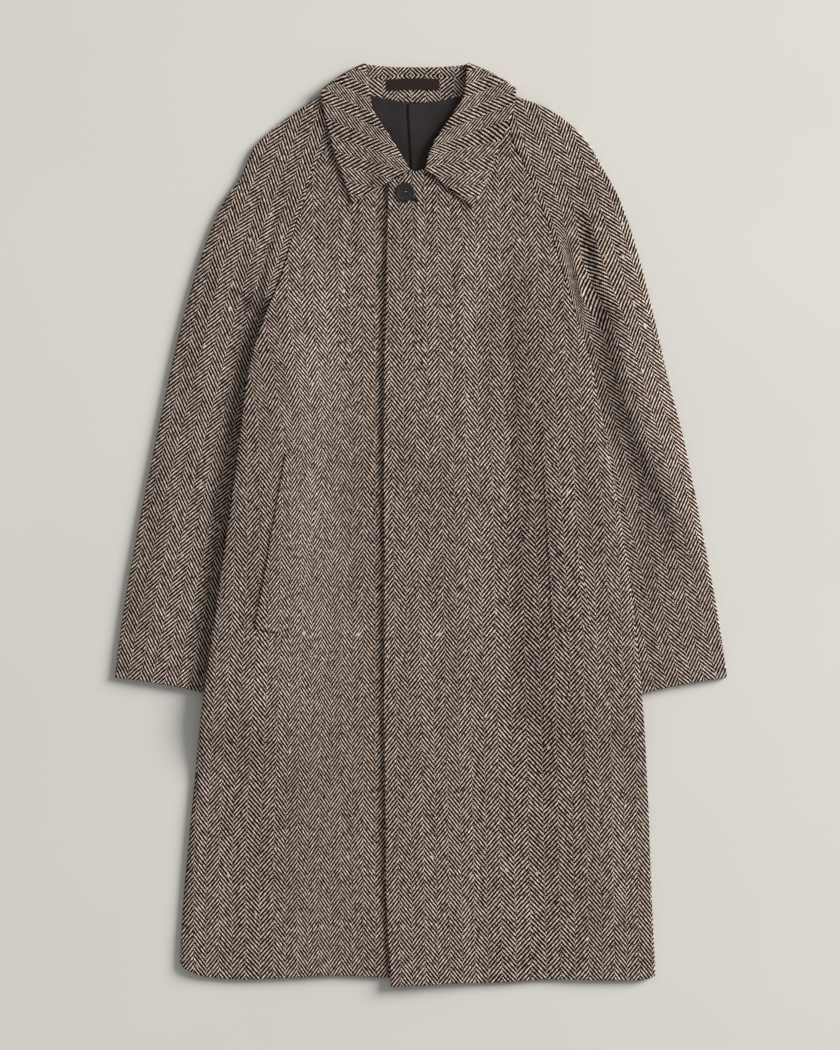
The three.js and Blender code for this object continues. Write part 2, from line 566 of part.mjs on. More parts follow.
// Stations along the collar from the right point, round under the neck, to the left point
function collarStations(side) {
  const leafRows = LEAF_RIGHT.length - 1;
  const underRows = UNDER_RIGHT.length - 1;
  const stations = [];
  for (let k = leafRows * LEAF_SPLIT; k > 0; k -= 1) stations.push({ side, turn: 1, row: k / LEAF_SPLIT });
  for (let k = FOLD_STEPS; k >= -FOLD_STEPS; k -= 1) stations.push({ side, turn: k / FOLD_STEPS, row: 0 });
  for (let k = 1; k <= underRows * UNDER_SPLIT; k += 1) stations.push({ side, turn: -1, row: k / UNDER_SPLIT });
  return stations;
}

function buildCollar() {
  const right = {
    leaf: { roll: line(LEAF_RIGHT, 'rollX', 'rollY'), edge: line(LEAF_RIGHT, 'edgeX', 'edgeY') },
    under: { roll: line(UNDER_RIGHT, 'rollX', 'rollY'), edge: line(UNDER_RIGHT, 'edgeX', 'edgeY') },
    outward: SHOULDER_OUTWARD.right,
  };
  const left = {
    leaf: { roll: line(LEAF_LEFT, 'rollX', 'rollY'), edge: line(LEAF_LEFT, 'edgeX', 'edgeY') },
    under: { roll: line(UNDER_LEFT, 'rollX', 'rollY'), edge: line(UNDER_LEFT, 'edgeX', 'edgeY') },
    outward: SHOULDER_OUTWARD.left,
  };
  const stations = [...collarStations(right), ...collarStations(left).reverse().slice(1)];
  const middle = stations.map(({ side, turn, row }) => (
    Array.from({ length: COLLAR_ROWS + 1 }, (_, k) => collarMiddle(side, turn, row, k / COLLAR_ROWS))
  ));
  const last = stations.length - 1;
  add('collar_fall', wall(last, COLLAR_ROWS, (i, j) => {
    const along = middle[Math.min(i + 1, last)][j].clone().sub(middle[Math.max(i - 1, 0)][j]);
    const across = middle[i][Math.min(j + 1, COLLAR_ROWS)].clone().sub(middle[i][Math.max(j - 1, 0)]);
    const out = along.cross(across).setLength(COLLAR_CLOTH / 2);
    return [middle[i][j].clone().sub(out), middle[i][j].clone().add(out)];
  }), COLLAR_WOOL);
}

// The stand behind the neck, a little hollow from side to side
const standLow = (x, y) => neckLift(x, y) + STAND.endRise * ((x - CENTRE_X) / STAND.right) ** 4;
function standTopY(x) {
  return STAND.topY - STAND.topDrop * ((x - CENTRE_X) / STAND.right) ** 4;
}
function buildStand() {
  add('collar_stand', wall(STAND_COLUMNS, STAND_ROWS, (i, j) => {
    const x = lerp(STAND.left, STAND.right, i / STAND_COLUMNS);
    const y = lerp(neckSeamY(x) + 2 * SEAM, standTopY(x), j / STAND_ROWS);
    return stack({ x, y }, standLow(x, y), STAND_CLOTH);
  }), COLLAR_WOOL);
  add('neck_label', wall(LABEL_COLUMNS, 1, (i, j) => {
    const x = lerp(LABEL.left, LABEL.right, i / LABEL_COLUMNS);
    const y = lerp(LABEL.bottom, LABEL.top, j);
    return stack({ x, y }, standLow(x, y) + STAND_CLOTH + SEAM, LABEL_CLOTH);
  }), LABEL_WEAVE);
}

// Lining on the inside of the back, with a pleat down its centre
function buildLining() {
  add('lining', wall(LINING_COLUMNS, LINING_ROWS, (i, j) => {
    const up = j / LINING_ROWS;
    const left = lerp(LINING.left, LINING.left + LINING.topInset, up);
    const right = lerp(LINING.right, LINING.right - LINING.topInset, up);
    const x = lerp(left, right, i / LINING_COLUMNS);
    const y = lerp(LINING.bottom, neckSeamY(x) - SEAM, up);
    const pleat = LINING.pleatHeight * Math.exp(-(((x - LINING.pleatX) / LINING.pleatWidth) ** 2));
    return stack({ x, y }, backLow(x, y) + CLOTH + LINING_GAP + pleat, LINING_CLOTH);
  }), SATIN);
}

function buildPockets() {
  const welts = [
    { name: 'pocket_welt_right', rows: WELT_RIGHT },
    { name: 'pocket_welt_left', rows: WELT_LEFT },
  ];
  for (const { name, rows } of welts) {
    const outer = line(rows, 'outerX', 'outerY');
    const inner = line(rows, 'innerX', 'innerY');
    add(name, wall(WELT_COLUMNS, WELT_ROWS, (i, j) => {
      const t = i / WELT_COLUMNS;
      const down = (rows.length - 1) * j / WELT_ROWS;
      const point = outer(down).lerp(inner(down), t);
      point.y -= WELT_BOW * Math.sin(Math.PI * t) * ramp(WELT_ROWS - 2, WELT_ROWS, j);
      return stack(point, leftTop(point.x, point.y) - lapShare(point.x) + WELT_GAP, WELT_CLOTH);
    }), WOOL);
  }
}

// What the lap adds to the left front, which the right front lacks
const lapShare = (x) => (x < 0 ? lapLift(x) + flyExtra(x) : 0);

function buildButton() {
  const face = new THREE.Shape().absarc(0, 0, BUTTON.radius - BUTTON.bevel, 0, 2 * Math.PI);
  for (const [sx, sy] of [[1, 1], [-1, 1], [-1, -1], [1, -1]]) {
    const hole = new THREE.Path();
    hole.absarc(sx * BUTTON.holeOffset, sy * BUTTON.holeOffset, BUTTON.holeRadius, 0, 2 * Math.PI, true);
    face.holes.push(hole);
  }
  const button = new THREE.ExtrudeGeometry(face, {
    depth: BUTTON.thickness - 2 * BUTTON.bevel,
    bevelThickness: BUTTON.bevel,
    bevelSize: BUTTON.bevel,
    bevelSegments: 1,
    curveSegments: 6,
  });
  const rest = leftTop(BUTTON.x, BUTTON.y) + LAYER_GAP + BUTTON.bevel;
  button.translate(BUTTON.x, BUTTON.y, rest);
  add('neck_button', button, HORN);
}

buildBack();
buildSleeves();
buildFronts();
buildLining();
buildStand();
buildCollar();
buildPockets();
buildButton();

// The origin is on the surface, under the middle of the coat's outline
coat.position.y = -COAT_LENGTH / 2;

export default coat;
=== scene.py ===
# %% [markdown]
# # A herringbone overcoat, laid flat
# A raglan overcoat lies on its back on a pale table and is seen from straight above. The solids come from
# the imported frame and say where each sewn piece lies. This script dresses them: every piece of cloth
# becomes a thin closed sheet with soft creases, and the weave is drawn by a shader that follows each
# piece's own grain. Lengths are written in millimetres, as a cutter would, and turned into metres where a
# mesh is made.

import math

import bmesh
import bpy
import numpy as np
from mathutils import Matrix


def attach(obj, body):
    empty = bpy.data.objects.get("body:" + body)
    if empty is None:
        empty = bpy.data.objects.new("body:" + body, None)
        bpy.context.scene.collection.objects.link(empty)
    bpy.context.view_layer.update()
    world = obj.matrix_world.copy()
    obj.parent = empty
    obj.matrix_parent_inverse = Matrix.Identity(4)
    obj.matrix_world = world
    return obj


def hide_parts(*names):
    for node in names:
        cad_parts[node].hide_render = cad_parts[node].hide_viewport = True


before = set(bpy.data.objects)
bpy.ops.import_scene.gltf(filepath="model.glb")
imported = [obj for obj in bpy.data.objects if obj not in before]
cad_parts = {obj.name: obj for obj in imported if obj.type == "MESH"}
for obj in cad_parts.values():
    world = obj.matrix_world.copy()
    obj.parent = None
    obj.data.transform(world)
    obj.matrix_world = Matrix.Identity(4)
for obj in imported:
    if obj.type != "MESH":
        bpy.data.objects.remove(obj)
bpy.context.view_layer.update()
print("nodes:", sorted(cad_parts))

# %% [markdown]
# ## Curves and soft steps
# The solids were drawn from short tables of points on the coat's edges. The same tables and the same few
# curve helpers are used here on whole arrays at once, so that a sheet can have thousands of points and
# still lie exactly where its solid lies.

# %% Curve helpers
MM = 0.001


def lerp(a, b, t):
    return a + (b - a) * t


def ramp(start, end, value):
    """A soft step: 0 up to start, 1 from end on"""
    t = np.clip((value - start) / (end - start), 0, 1)
    return t * t * (3 - 2 * t)


def rounded(distance, radius):
    """Quarter-round profile: 0 at an edge, 1 once a radius away from it"""
    t = 1 - np.clip(distance / radius, 0, 1)
    return np.sqrt(1 - t * t)


def smooth_line(points):
    """A smooth curve through plan points, read by point number"""
    plan = np.array(points, float)
    last = len(plan) - 1

    def at(number):
        number = np.clip(np.asarray(number, float), 0, last)
        i = np.minimum(np.floor(number).astype(int), last - 1)
        t = (number - i)[..., None]
        before, start, end, after = (plan[np.clip(i + k, 0, last)] for k in (-1, 0, 1, 2))
        leave, arrive = (end - before) / 2, (after - start) / 2
        cubic = (2 * start - 2 * end + leave + arrive) * t ** 3
        return cubic + (3 * end - 3 * start - 2 * leave - arrive) * t ** 2 + leave * t + start
    return at


def straight_line(points):
    """Straight stretches between plan points, read by point number"""
    plan = np.array(points, float)
    numbers = np.arange(len(plan))
    return lambda number: np.stack([np.interp(number, numbers, plan[:, axis]) for axis in (0, 1)], -1)


def beside_line(points, samples):
    """Reads plan points by a line drawn down the coat: distance to its side and distance travelled, in mm"""
    path = smooth_line(points)(np.linspace(0, len(points) - 1, samples))
    steps = np.gradient(path, axis=0)
    direction = steps / np.linalg.norm(steps, axis=1, keepdims=True)
    length = np.append(0, np.cumsum(np.linalg.norm(np.diff(path, axis=0), axis=1)))

    def at(x, y):
        flat = np.stack([np.ravel(x), np.ravel(y)], -1)
        nearest = np.argmin(((flat[:, None, :] - path[None, :, :]) ** 2).sum(-1), axis=1)
        away, way = flat - path[nearest], direction[nearest]
        beside = away[:, 1] * way[:, 0] - away[:, 0] * way[:, 1]
        travelled = length[nearest] + (away * way).sum(-1)
        return beside.reshape(np.shape(x)), travelled.reshape(np.shape(x))
    return at, length[-1]


def profile(points):
    """A smooth height over one coordinate, through a table of (coordinate, height)"""
    table = np.array(points, float)
    at, height = table[:, 0], table[:, 1]
    last = len(table) - 1
    index = np.arange(last + 1)
    before, after = np.maximum(index - 1, 0), np.minimum(index + 1, last)
    slope = (height[after] - height[before]) / (at[after] - at[before])

    def value(x):
        x = np.clip(x, at[0], at[-1])
        i = np.clip(np.searchsorted(at, x) - 1, 0, last - 1)
        span = at[i + 1] - at[i]
        t = (x - at[i]) / span
        ends = (2 * t ** 3 - 3 * t ** 2 + 1) * height[i] + (3 * t ** 2 - 2 * t ** 3) * height[i + 1]
        return ends + span * ((t ** 3 - 2 * t ** 2 + t) * slope[i] + (t ** 3 - t ** 2) * slope[i + 1])
    return value


print("a soft step from 0 to 10, read at 2:", ramp(0, 10, 2))

# %% [markdown]
# ## The cut of the coat
# Each list below runs along one edge of a piece, as (x, y) in millimetres: x across the coat, y from the
# hem up to the collar. The wearer's right side is at negative x. A tailor would call these the side seams,
# the raglan seams, the overarm folds and the roll and outer edge of the collar.

# %% Edge lines
COAT_LENGTH = 1108
CENTRE_X = -5
SIDE = {
    "right": [(-289, 28), (-285, 104), (-274, 224), (-261, 344), (-239, 500), (-222, 620), (-206, 741),
              (-184, 811)],
    "left": [(281, 14), (277, 104), (272.5, 224), (265, 344), (248, 500), (228, 620), (206, 735), (188, 797)],
}
LAP_EDGE = [(-36, 0), (-42, 104), (-43.5, 224), (-45, 344), (-44.5, 500), (-45.5, 620), (-44.5, 741),
            (-43, 811)]
UNDER_EDGE_X = 33
FRONT_SEAM = {
    "right": [(-184, 811), (-167, 853), (-154, 902), (-141, 941), (-129, 980), (-113, 1009), (-98, 1032),
              (-86, 1049)],
    "left": [(188, 797), (170, 853), (156, 903), (143, 938), (129, 974), (112, 1008), (104, 1036),
             (88, 1054)],
}
BACK_SEAM = {
    "right": [(-184, 811), (-165, 856), (-150, 905), (-135, 947), (-119, 986), (-102, 1020), (-86, 1048),
              (-70, 1070)],
    "left": [(188, 797), (170, 850), (154, 902), (138, 945), (121, 986), (103, 1020), (84, 1048), (64, 1070)],
}
NECK_EDGE = {
    "right": [(33, 811), (33, 853), (33, 902), (33, 945), (24, 966), (-18, 982), (-38, 1016), (-60, 1056)],
    "left": [(-43, 811), (-42, 856), (-41, 905), (-40, 945), (-39, 966), (6, 981), (24, 1020), (48, 1056)],
}
OVERARM = {
    "right": [(-270, 856), (-255.5, 898), (-239, 936), (-217, 970), (-200, 1006), (-174, 1031), (-148, 1050),
              (-124, 1066)],
    "left": [(266, 858), (253, 903), (237, 947), (220, 978), (199, 1013), (172, 1040), (145, 1056),
             (119, 1065)],
}
ARM_OUTER = {
    "right": [(-270, 856), (-285, 803), (-300, 740), (-319, 650), (-339.5, 548), (-356.5, 452),
              (-367.2, 371)],
    "left": [(266, 858), (281, 796), (295, 735), (317, 648), (337, 548), (355, 452), (367.2, 371)],
}
ARM_INNER = {
    "right": [(-184, 811), (-184, 778), (-187, 722), (-193, 638), (-200, 530), (-207, 430), (-216, 340)],
    "left": [(188, 797), (184, 768), (187, 715), (195, 630), (205, 525), (212, 425), (218, 338)],
}
NECK_END = {"right": [(-88, 1083), (-79, 1062)], "left": [(84, 1083), (71, 1062)]}
HEM = {
    "right": [(-289, 28), (-283, 21), (-277, 17.4), (-265, 12.6), (-241, 9), (-217, 7.8), (-145, 11.4),
              (-97, 13.8), (-39, 11.4), (33, 14)],
    "left": [(-36, 0), (0, 1.8), (35, 4.2), (95, 5.4), (155, 9), (215, 7.8), (262, 8), (275, 10), (281, 14)],
    "back": [(-289, 32), (-262, 20), (0, 17), (262, 18), (281, 22)],
}
print("hem:", SIDE["left"][0][0] - SIDE["right"][0][0], "mm wide, coat:", COAT_LENGTH, "mm long")

# %% [markdown]
# ## How the layers lie
# A coat on a table is a pile of sheets. The back lies on the table, the fronts lie on it, and the body
# rides up over the sleeves that are tucked under its sides. Each layer's height is a function of the place
# on the table, and the next layer adds its cloth and a little air. Simulating this pile would be slow and
# would let the sheets pass through each other, so the heights are written out and the creases are laid on
# them.

# %% Cloth, gaps and layer heights
CLOTH, WELT_CLOTH, STAND_CLOTH, COLLAR_CLOTH = 2.4, 3.0, 3.2, 3.5
LINING_CLOTH, LABEL_CLOTH, FLY_EXTRA = 0.9, 0.6, 1.6
SEAM, LAYER_GAP, FRONT_GAP, NECK_PRESS, LEAF_GAP = 0.3, 0.4, 2.6, 0.5, 0.5
FALL_LIFT, FALL_LIFT_MARGIN, FALL_LIFT_FADE = 4, 5, 52
FALL_BACK_HALF, FALL_BACK_EDGE_Y, FALL_BACK_CURVE = 118, 1041, 20
RIDE, RIDE_SLOPE, RIDE_MARGIN = {"right": 14.6, "left": 11.4}, 126, 3
RIDE_FROM_Y, RIDE_FULL_Y, RIDE_LAST_Y, RIDE_END_Y = 240, 335, 812, 915
SLEEVE_EDGE_RISE, SLEEVE_CROWN, SLEEVE_ROUND, SIDE_ROUND = 0.8, 1.6, 16, 12

# Large folds, as in the solids: from x, y, to x, y, half width, height
BODY_FOLDS = [
    (112, 1010, 108, 330, 20, -1.5), (176, 720, 214, 420, 13, -1.7), (60, 700, 72, 120, 34, 1.6),
    (150, 780, 165, 250, 20, 1.5), (205, 300, 235, 20, 26, 1.8), (140, 330, 150, 10, 24, -1.3),
    (-150, 850, -158, 560, 34, 2.2), (-98, 960, -92, 420, 22, -1.2), (-120, 400, -140, 20, 34, 1.9),
    (-215, 330, -232, 20, 24, -1.4), (-262, 300, -270, 60, 12, 1.6),
]
SLEEVE_FOLDS = [
    (-160, 950, -194, 838, 9, -1.8), (-216, 930, -262, 700, 22, 1.6), (-290, 700, -322, 440, 14, 1.2),
    (190, 940, 236, 736, 12, -1.8), (236, 736, 296, 600, 12, -1.7), (296, 600, 328, 450, 13, -1.4),
    (232, 900, 300, 660, 14, 1.6),
]
FOLD_END = 0.35


def fold_sum(table):
    """Folds are highest half way along their lines and die away to both sides"""
    def height(x, y):
        total = 0
        for from_x, from_y, to_x, to_y, width, tall in table:
            dx, dy = to_x - from_x, to_y - from_y
            t = np.clip(((x - from_x) * dx + (y - from_y) * dy) / (dx * dx + dy * dy), 0, 1)
            away = np.hypot(x - from_x - t * dx, y - from_y - t * dy) / width
            total = total + tall * np.exp(-away * away) * lerp(FOLD_END, 1, np.sin(np.pi * t))
        return total
    return height


body_folds, sleeve_folds = fold_sum(BODY_FOLDS), fold_sum(SLEEVE_FOLDS)


def neck_lift(x, y):
    """What lies on the collar's hidden back stretch is lifted by it"""
    from_centre = abs(x - CENTRE_X)
    sideways = np.minimum(from_centre / FALL_BACK_HALF, 1)
    edge_y = FALL_BACK_EDGE_Y + FALL_BACK_CURVE * sideways ** 2
    away = np.hypot(np.maximum(from_centre - FALL_BACK_HALF, 0), np.maximum(edge_y - y, 0))
    return FALL_LIFT * (1 - ramp(FALL_LIFT_MARGIN, FALL_LIFT_FADE, away))


hidden_edge = {side: profile([(y, abs(x)) for x, y in reversed(ARM_INNER[side])]) for side in RIDE}


def body_ride(x, y):
    """The body climbs over the sleeves tucked under its sides"""
    lifts = []
    for side, sign in (("right", -1), ("left", 1)):
        inner = hidden_edge[side](y)
        lifts.append(RIDE[side] * ramp(inner - RIDE_SLOPE, inner - RIDE_MARGIN, sign * x))
    return sum(lifts) * ramp(RIDE_FROM_Y, RIDE_FULL_Y, y) * (1 - ramp(RIDE_LAST_Y, RIDE_END_Y, y))


def back_low(x, y):
    return neck_lift(x, y) + body_ride(x, y)


def front_gap(x, y):
    return FRONT_GAP - NECK_PRESS * neck_lift(x, y) / FALL_LIFT


print("body over the right sleeve:", round(float(body_ride(-230.0, 500.0)), 1), "mm above the table")

# %% [markdown]
# ## Creases
# Heavy wool keeps few sharp folds. It shows long, low troughs where the coat was hung and folded, short
# pulls at the armpits, and a faint unevenness everywhere. Each crease is a line with a half width and a
# height, dying away like a bell curve, and the unevenness is a sum of slow waves with different directions.
# The few long folds are lopsided: the cloth climbs steeply on one side and sinks slowly on the other, so
# only one side lies in shade.

# %% Creases and unevenness
CREASES = [
    (176, 834, 196, 792, 4, -1.1), (186, 838, 206, 800, 4, 0.9), (168, 822, 186, 776, 5, 0.8),
    (-166, 846, -186, 780, 6, -0.8), (-150, 842, -168, 760, 8, 0.6), (-70, 930, -66, 640, 9, 0.5),
    (-120, 700, -128, 520, 12, -0.6), (-66, 470, -70, 250, 10, -0.5), (-185, 520, -205, 330, 12, 0.6),
    (-160, 330, -176, 110, 12, -0.6), (-250, 250, -262, 60, 9, -0.6), (-80, 240, -84, 60, 12, 0.6),
    (0, 800, 4, 560, 12, -0.5), (34, 620, 40, 380, 12, 0.5), (90, 820, 84, 610, 10, 0.6),
    (96, 330, 100, 120, 12, -0.6), (22, 300, 26, 90, 12, 0.5), (190, 420, 206, 190, 12, 0.7),
    (238, 300, 258, 110, 9, -0.7), (172, 230, 182, 60, 12, -0.5), (132, 900, 122, 760, 10, 0.5),
    (70, 930, 64, 780, 12, -0.4),
]
SLEEVE_CREASES = [
    (-205, 960, -238, 850, 9, -0.8), (-238, 830, -262, 700, 9, -0.7), (-262, 620, -288, 470, 10, -0.7),
    (-312, 640, -336, 500, 9, -0.6), (-250, 560, -276, 430, 10, 0.7), (-330, 450, -344, 385, 9, 0.6),
    (-232, 900, -258, 800, 7, 0.6), (208, 880, 230, 800, 6, 0.7), (250, 800, 272, 700, 8, -0.6),
    (276, 560, 292, 440, 9, 0.7), (330, 520, 346, 410, 9, -0.7), (252, 640, 270, 540, 9, -0.6),
    (200, 985, 220, 930, 8, 0.6), (168, 1000, 180, 950, 8, -0.5), (178, 842, 190, 806, 3.5, -1.3),
    (186, 850, 199, 806, 3.5, 1.0), (195, 846, 206, 800, 3.5, -1.2),
]
# Turns across and along, in radians a millimetre, and a phase
WAVES = [(0.031, 0.009, 0.4), (-0.022, 0.016, 1.9), (0.052, -0.011, 3.1), (0.017, 0.034, 5.0),
         (-0.041, -0.027, 2.2), (0.083, 0.013, 4.4), (0.066, -0.038, 0.9)]
WAVE_BEND, WAVE_BEND_TURN, WAVE_BEND_PHASE = 14, 0.011, 0.6
BODY_UNEVEN, CREASES_FADE_Y = 0.9, (1040, 1060)
# A line down the coat, the climb's height and half width, how far it takes to sink, and a dip on the line
BODY_LONG = [
    ([(104, 992), (109, 824), (114, 644), (119, 464), (124, 320)], 2.2, 8, 42, 0),
    ([(172, 720), (184, 644), (196, 560), (208, 476), (218, 400)], 1.4, 8, 28, 0),
    ([(60, 560), (66, 430), (70, 280), (74, 90)], 1.3, 10, 50, 0),
    ([(150, 330), (158, 210), (168, 60)], 1.5, 10, 44, 0),
    ([(-176, 420), (-184, 300), (-196, 150), (-206, 50)], 1.2, 10, 40, 0),
    ([(-96, 520), (-100, 380), (-106, 220), (-110, 90)], 1.1, 11, 40, 0),
]
SLEEVE_LONG = [
    ([(195, 940), (201, 880), (209, 824), (219, 764), (231, 712), (252, 660), (280, 600), (300, 540),
      (314, 470)], 15, 14.5, 46, -1.0),
    ([(192, 940), (200, 900), (206, 862), (211, 826), (216, 790)], 7, 8, 17, -1.2),
    ([(-196, 800), (-216, 745), (-236, 640), (-253, 530), (-266, 450), (-279, 370)], 0.8, 10, 10, -3.2),
    ([(170, 899), (179, 868), (186, 838), (193, 806)], 3.2, 3.5, 8, -2.0),
    ([(-168, 940), (-180, 900), (-186, 872), (-191, 842), (-194, 800)], 3.4, 4.5, 14, -2.4),
    ([(-236, 900), (-252, 820), (-272, 720), (-290, 620)], 1.4, 9, 30, 0),
]
LONG_SAMPLES, LONG_END_POWER = 140, 0.6
body_creases, sleeve_creases = fold_sum(CREASES), fold_sum(SLEEVE_CREASES)


def long_folds(table):
    lines = [beside_line(points, LONG_SAMPLES) for points, *_ in table]

    def height(x, y):
        total = 0
        for (read, length), (_, tall, width, fade, dip) in zip(lines, table):
            beside, travelled = read(x, y)
            ends = np.sin(np.pi * np.clip(travelled / length, 0, 1)) ** LONG_END_POWER
            climb = (0.5 + 0.5 * np.tanh(beside / width)) * np.exp(-(np.maximum(beside, 0) / fade) ** 2)
            total = total + ends * (tall * climb + dip * np.exp(-(beside / width) ** 2))
        return total
    return height


body_long, sleeve_long = long_folds(BODY_LONG), long_folds(SLEEVE_LONG)


def unevenness(x, y, height):
    bend = WAVE_BEND * np.sin(WAVE_BEND_TURN * y + WAVE_BEND_PHASE)
    waves = sum(np.sin(across * (x + bend) + along * y + phase) for across, along, phase in WAVES)
    return height * waves / len(WAVES)


def front_low(x, y):
    fine = (body_creases(x, y) + unevenness(x, y, BODY_UNEVEN)) * (1 - ramp(*CREASES_FADE_Y, y))
    air = front_gap(x, y) + body_folds(x, y) + body_long(x, y) + fine
    return back_low(x, y) + CLOTH + np.maximum(air, 2 * SEAM)


LAP_MARGIN, LAP_SLOPE, FLY_FADE = 10, 44, 40
LAP_EDGE_X, LAP_EDGE_FADE, LAP_NECK_Y, LAP_NECK_FADE = -44, 22, 985, 30


def lap_lift(x):
    """The left front lies on the right one up to the hidden edge and a little past it"""
    return (CLOTH + LAYER_GAP) * (1 - ramp(UNDER_EDGE_X + LAP_MARGIN, UNDER_EDGE_X + LAP_SLOPE, x))


def fly_extra(x):
    return FLY_EXTRA * (1 - ramp(UNDER_EDGE_X - FLY_FADE, UNDER_EDGE_X, x))


def left_top(x, y):
    return front_low(x, y) + lap_lift(x) + CLOTH + fly_extra(x)


def leaf_low(x, y):
    """Underside of the collar leaves, which lie over both fronts"""
    below_neck = 1 - ramp(LAP_NECK_Y, LAP_NECK_Y + LAP_NECK_FADE, y)
    lap = np.where(x < 0, ramp(LAP_EDGE_X - LAP_EDGE_FADE, LAP_EDGE_X, x) * below_neck, 1)
    return front_low(x, y) + CLOTH + LEAF_GAP + (lap_lift(x) + fly_extra(x)) * lap


print("top of the left front at the waist:", round(float(left_top(60.0, 640.0)), 1), "mm")

# %% [markdown]
# ## Sheets of cloth
# Cloth could be a plane with a Solidify modifier. Here the two faces are written out instead, because the
# edge of a garment is a turned fold: the sheet has to thin to a round edge, and two such edges side by side
# make the groove of a seam. The rows and columns crowd near the edges so that the small radius has enough
# points.

# %% Build a closed sheet
EDGE_STEPS = [0, 0.12, 0.45, 0.95, 1.6, 3.2]
EDGE_ROUND = 1.15
SEWN = "sewn_"


def stations(length, count):
    """Distances across a piece, crowded at both edges, for one length or a column of lengths"""
    length = np.asarray(length, float)[..., None]
    start = np.array(EDGE_STEPS, float)
    middle = lerp(start[-1], length - start[-1], np.linspace(0, 1, count)[1:-1])
    spread = np.broadcast_to(start, length.shape[:-1] + start.shape)
    return np.concatenate([spread, middle, length - spread[..., ::-1]], -1)


def sheet_mesh(name, middle, half, weave, material):
    """A closed sheet from its middle surface, the vector from there to its top face and its weave map"""
    rows, columns = middle.shape[:2]
    inside = (slice(1, -1), slice(1, -1))
    above = np.arange(rows * columns).reshape(rows, columns)
    below = above.copy()
    below[inside] = rows * columns + np.arange((rows - 2) * (columns - 2)).reshape(rows - 2, columns - 2)
    points = np.vstack([(middle + half).reshape(-1, 3), (middle - half)[inside].reshape(-1, 3)])
    points[:, 1] -= COAT_LENGTH / 2
    map_points = np.vstack([weave.reshape(-1, 2), weave[inside].reshape(-1, 2)])

    def quads(grid):
        return np.stack([grid[:-1, :-1], grid[:-1, 1:], grid[1:, 1:], grid[1:, :-1]], -1).reshape(-1, 4)
    faces = np.vstack([quads(above), quads(below)[:, ::-1]])
    corner = points[faces]
    volume = np.einsum("ij,ij->", corner[:, 0], np.cross(corner[:, 1], corner[:, 2]))
    volume += np.einsum("ij,ij->", corner[:, 0], np.cross(corner[:, 2], corner[:, 3]))
    litres = abs(volume) / 6 * 1e-6
    if volume < 0:
        faces = faces[:, ::-1]
    mesh = bpy.data.meshes.new(SEWN + name)
    mesh.from_pydata((points * MM).tolist(), [], faces.tolist())
    layer = mesh.uv_layers.new(name="weave")
    layer.data.foreach_set("uv", (map_points[faces.reshape(-1)] * MM).ravel())
    mesh.polygons.foreach_set("use_smooth", np.ones(len(faces), bool))
    mesh.materials.append(material)
    piece = bpy.data.objects.new(SEWN + name, mesh)
    bpy.context.scene.collection.objects.link(piece)
    print(f"{name}: {len(faces) * 2} triangles, {litres:.3f} litres")
    return piece


def flat_sheet(name, plan, low, thickness, to_edge, weave, material):
    """A sheet that lies on the table at a height given over its plan"""
    edge = rounded(to_edge, EDGE_ROUND)
    middle = np.dstack([plan, low + thickness / 2])
    half = np.zeros_like(middle)
    half[..., 2] = thickness / 2 * edge
    return sheet_mesh(name, middle, half, weave, material)


# %% [markdown]
# ## Writing materials as sums
# A shader is arithmetic on wires. The small class below holds one output socket and turns + - * / into Math
# nodes, so that a formula in Python becomes a node tree. Colours go through Mix nodes, because a Math node
# would turn them grey.

# %% Shader arithmetic
class Value:
    """One output of a node, in the tree being written"""
    def __init__(self, nodes, socket):
        self.nodes, self.socket = nodes, socket

    def math(self, operation, *others, first=None):
        inputs = dict(enumerate([self if first is None else first, *others]))
        return self.nodes.node("ShaderNodeMath", {"operation": operation}, inputs)

    def __add__(self, other):
        return self.math("ADD", other)

    def __sub__(self, other):
        return self.math("SUBTRACT", other)

    def __rsub__(self, other):
        return self.math("SUBTRACT", self, first=other)

    def __mul__(self, other):
        return self.math("MULTIPLY", other)

    def __truediv__(self, other):
        return self.math("DIVIDE", other)

    __radd__, __rmul__ = __add__, __mul__

    def smooth(self, start, end):
        inputs = {"Value": self, "From Min": start, "From Max": end}
        return self.nodes.node("ShaderNodeMapRange", {"interpolation_type": "SMOOTHSTEP"}, inputs)


class Nodes:
    """A node tree being written"""
    def __init__(self, tree):
        self.tree = tree

    def node(self, kind, settings=None, inputs=None, output=0):
        made = self.tree.nodes.new(kind)
        for key, value in (settings or {}).items():
            if key == "stops":
                stops = made.color_ramp.elements
                while len(stops) < len(value):
                    stops.new(1)
                for stop, (place, colour) in zip(stops, value):
                    stop.position, stop.color = place, colour
            elif key == "ramp":
                made.color_ramp.interpolation = value
            else:
                setattr(made, key, value)
        for key, value in (inputs or {}).items():
            if isinstance(value, Value):
                self.tree.links.new(value.socket, made.inputs[key])
            else:
                made.inputs[key].default_value = value
        return Value(self, made.outputs[output])

    def combine(self, x, y, z=0.0):
        return self.node("ShaderNodeCombineXYZ", None, {"X": x, "Y": y, "Z": z})


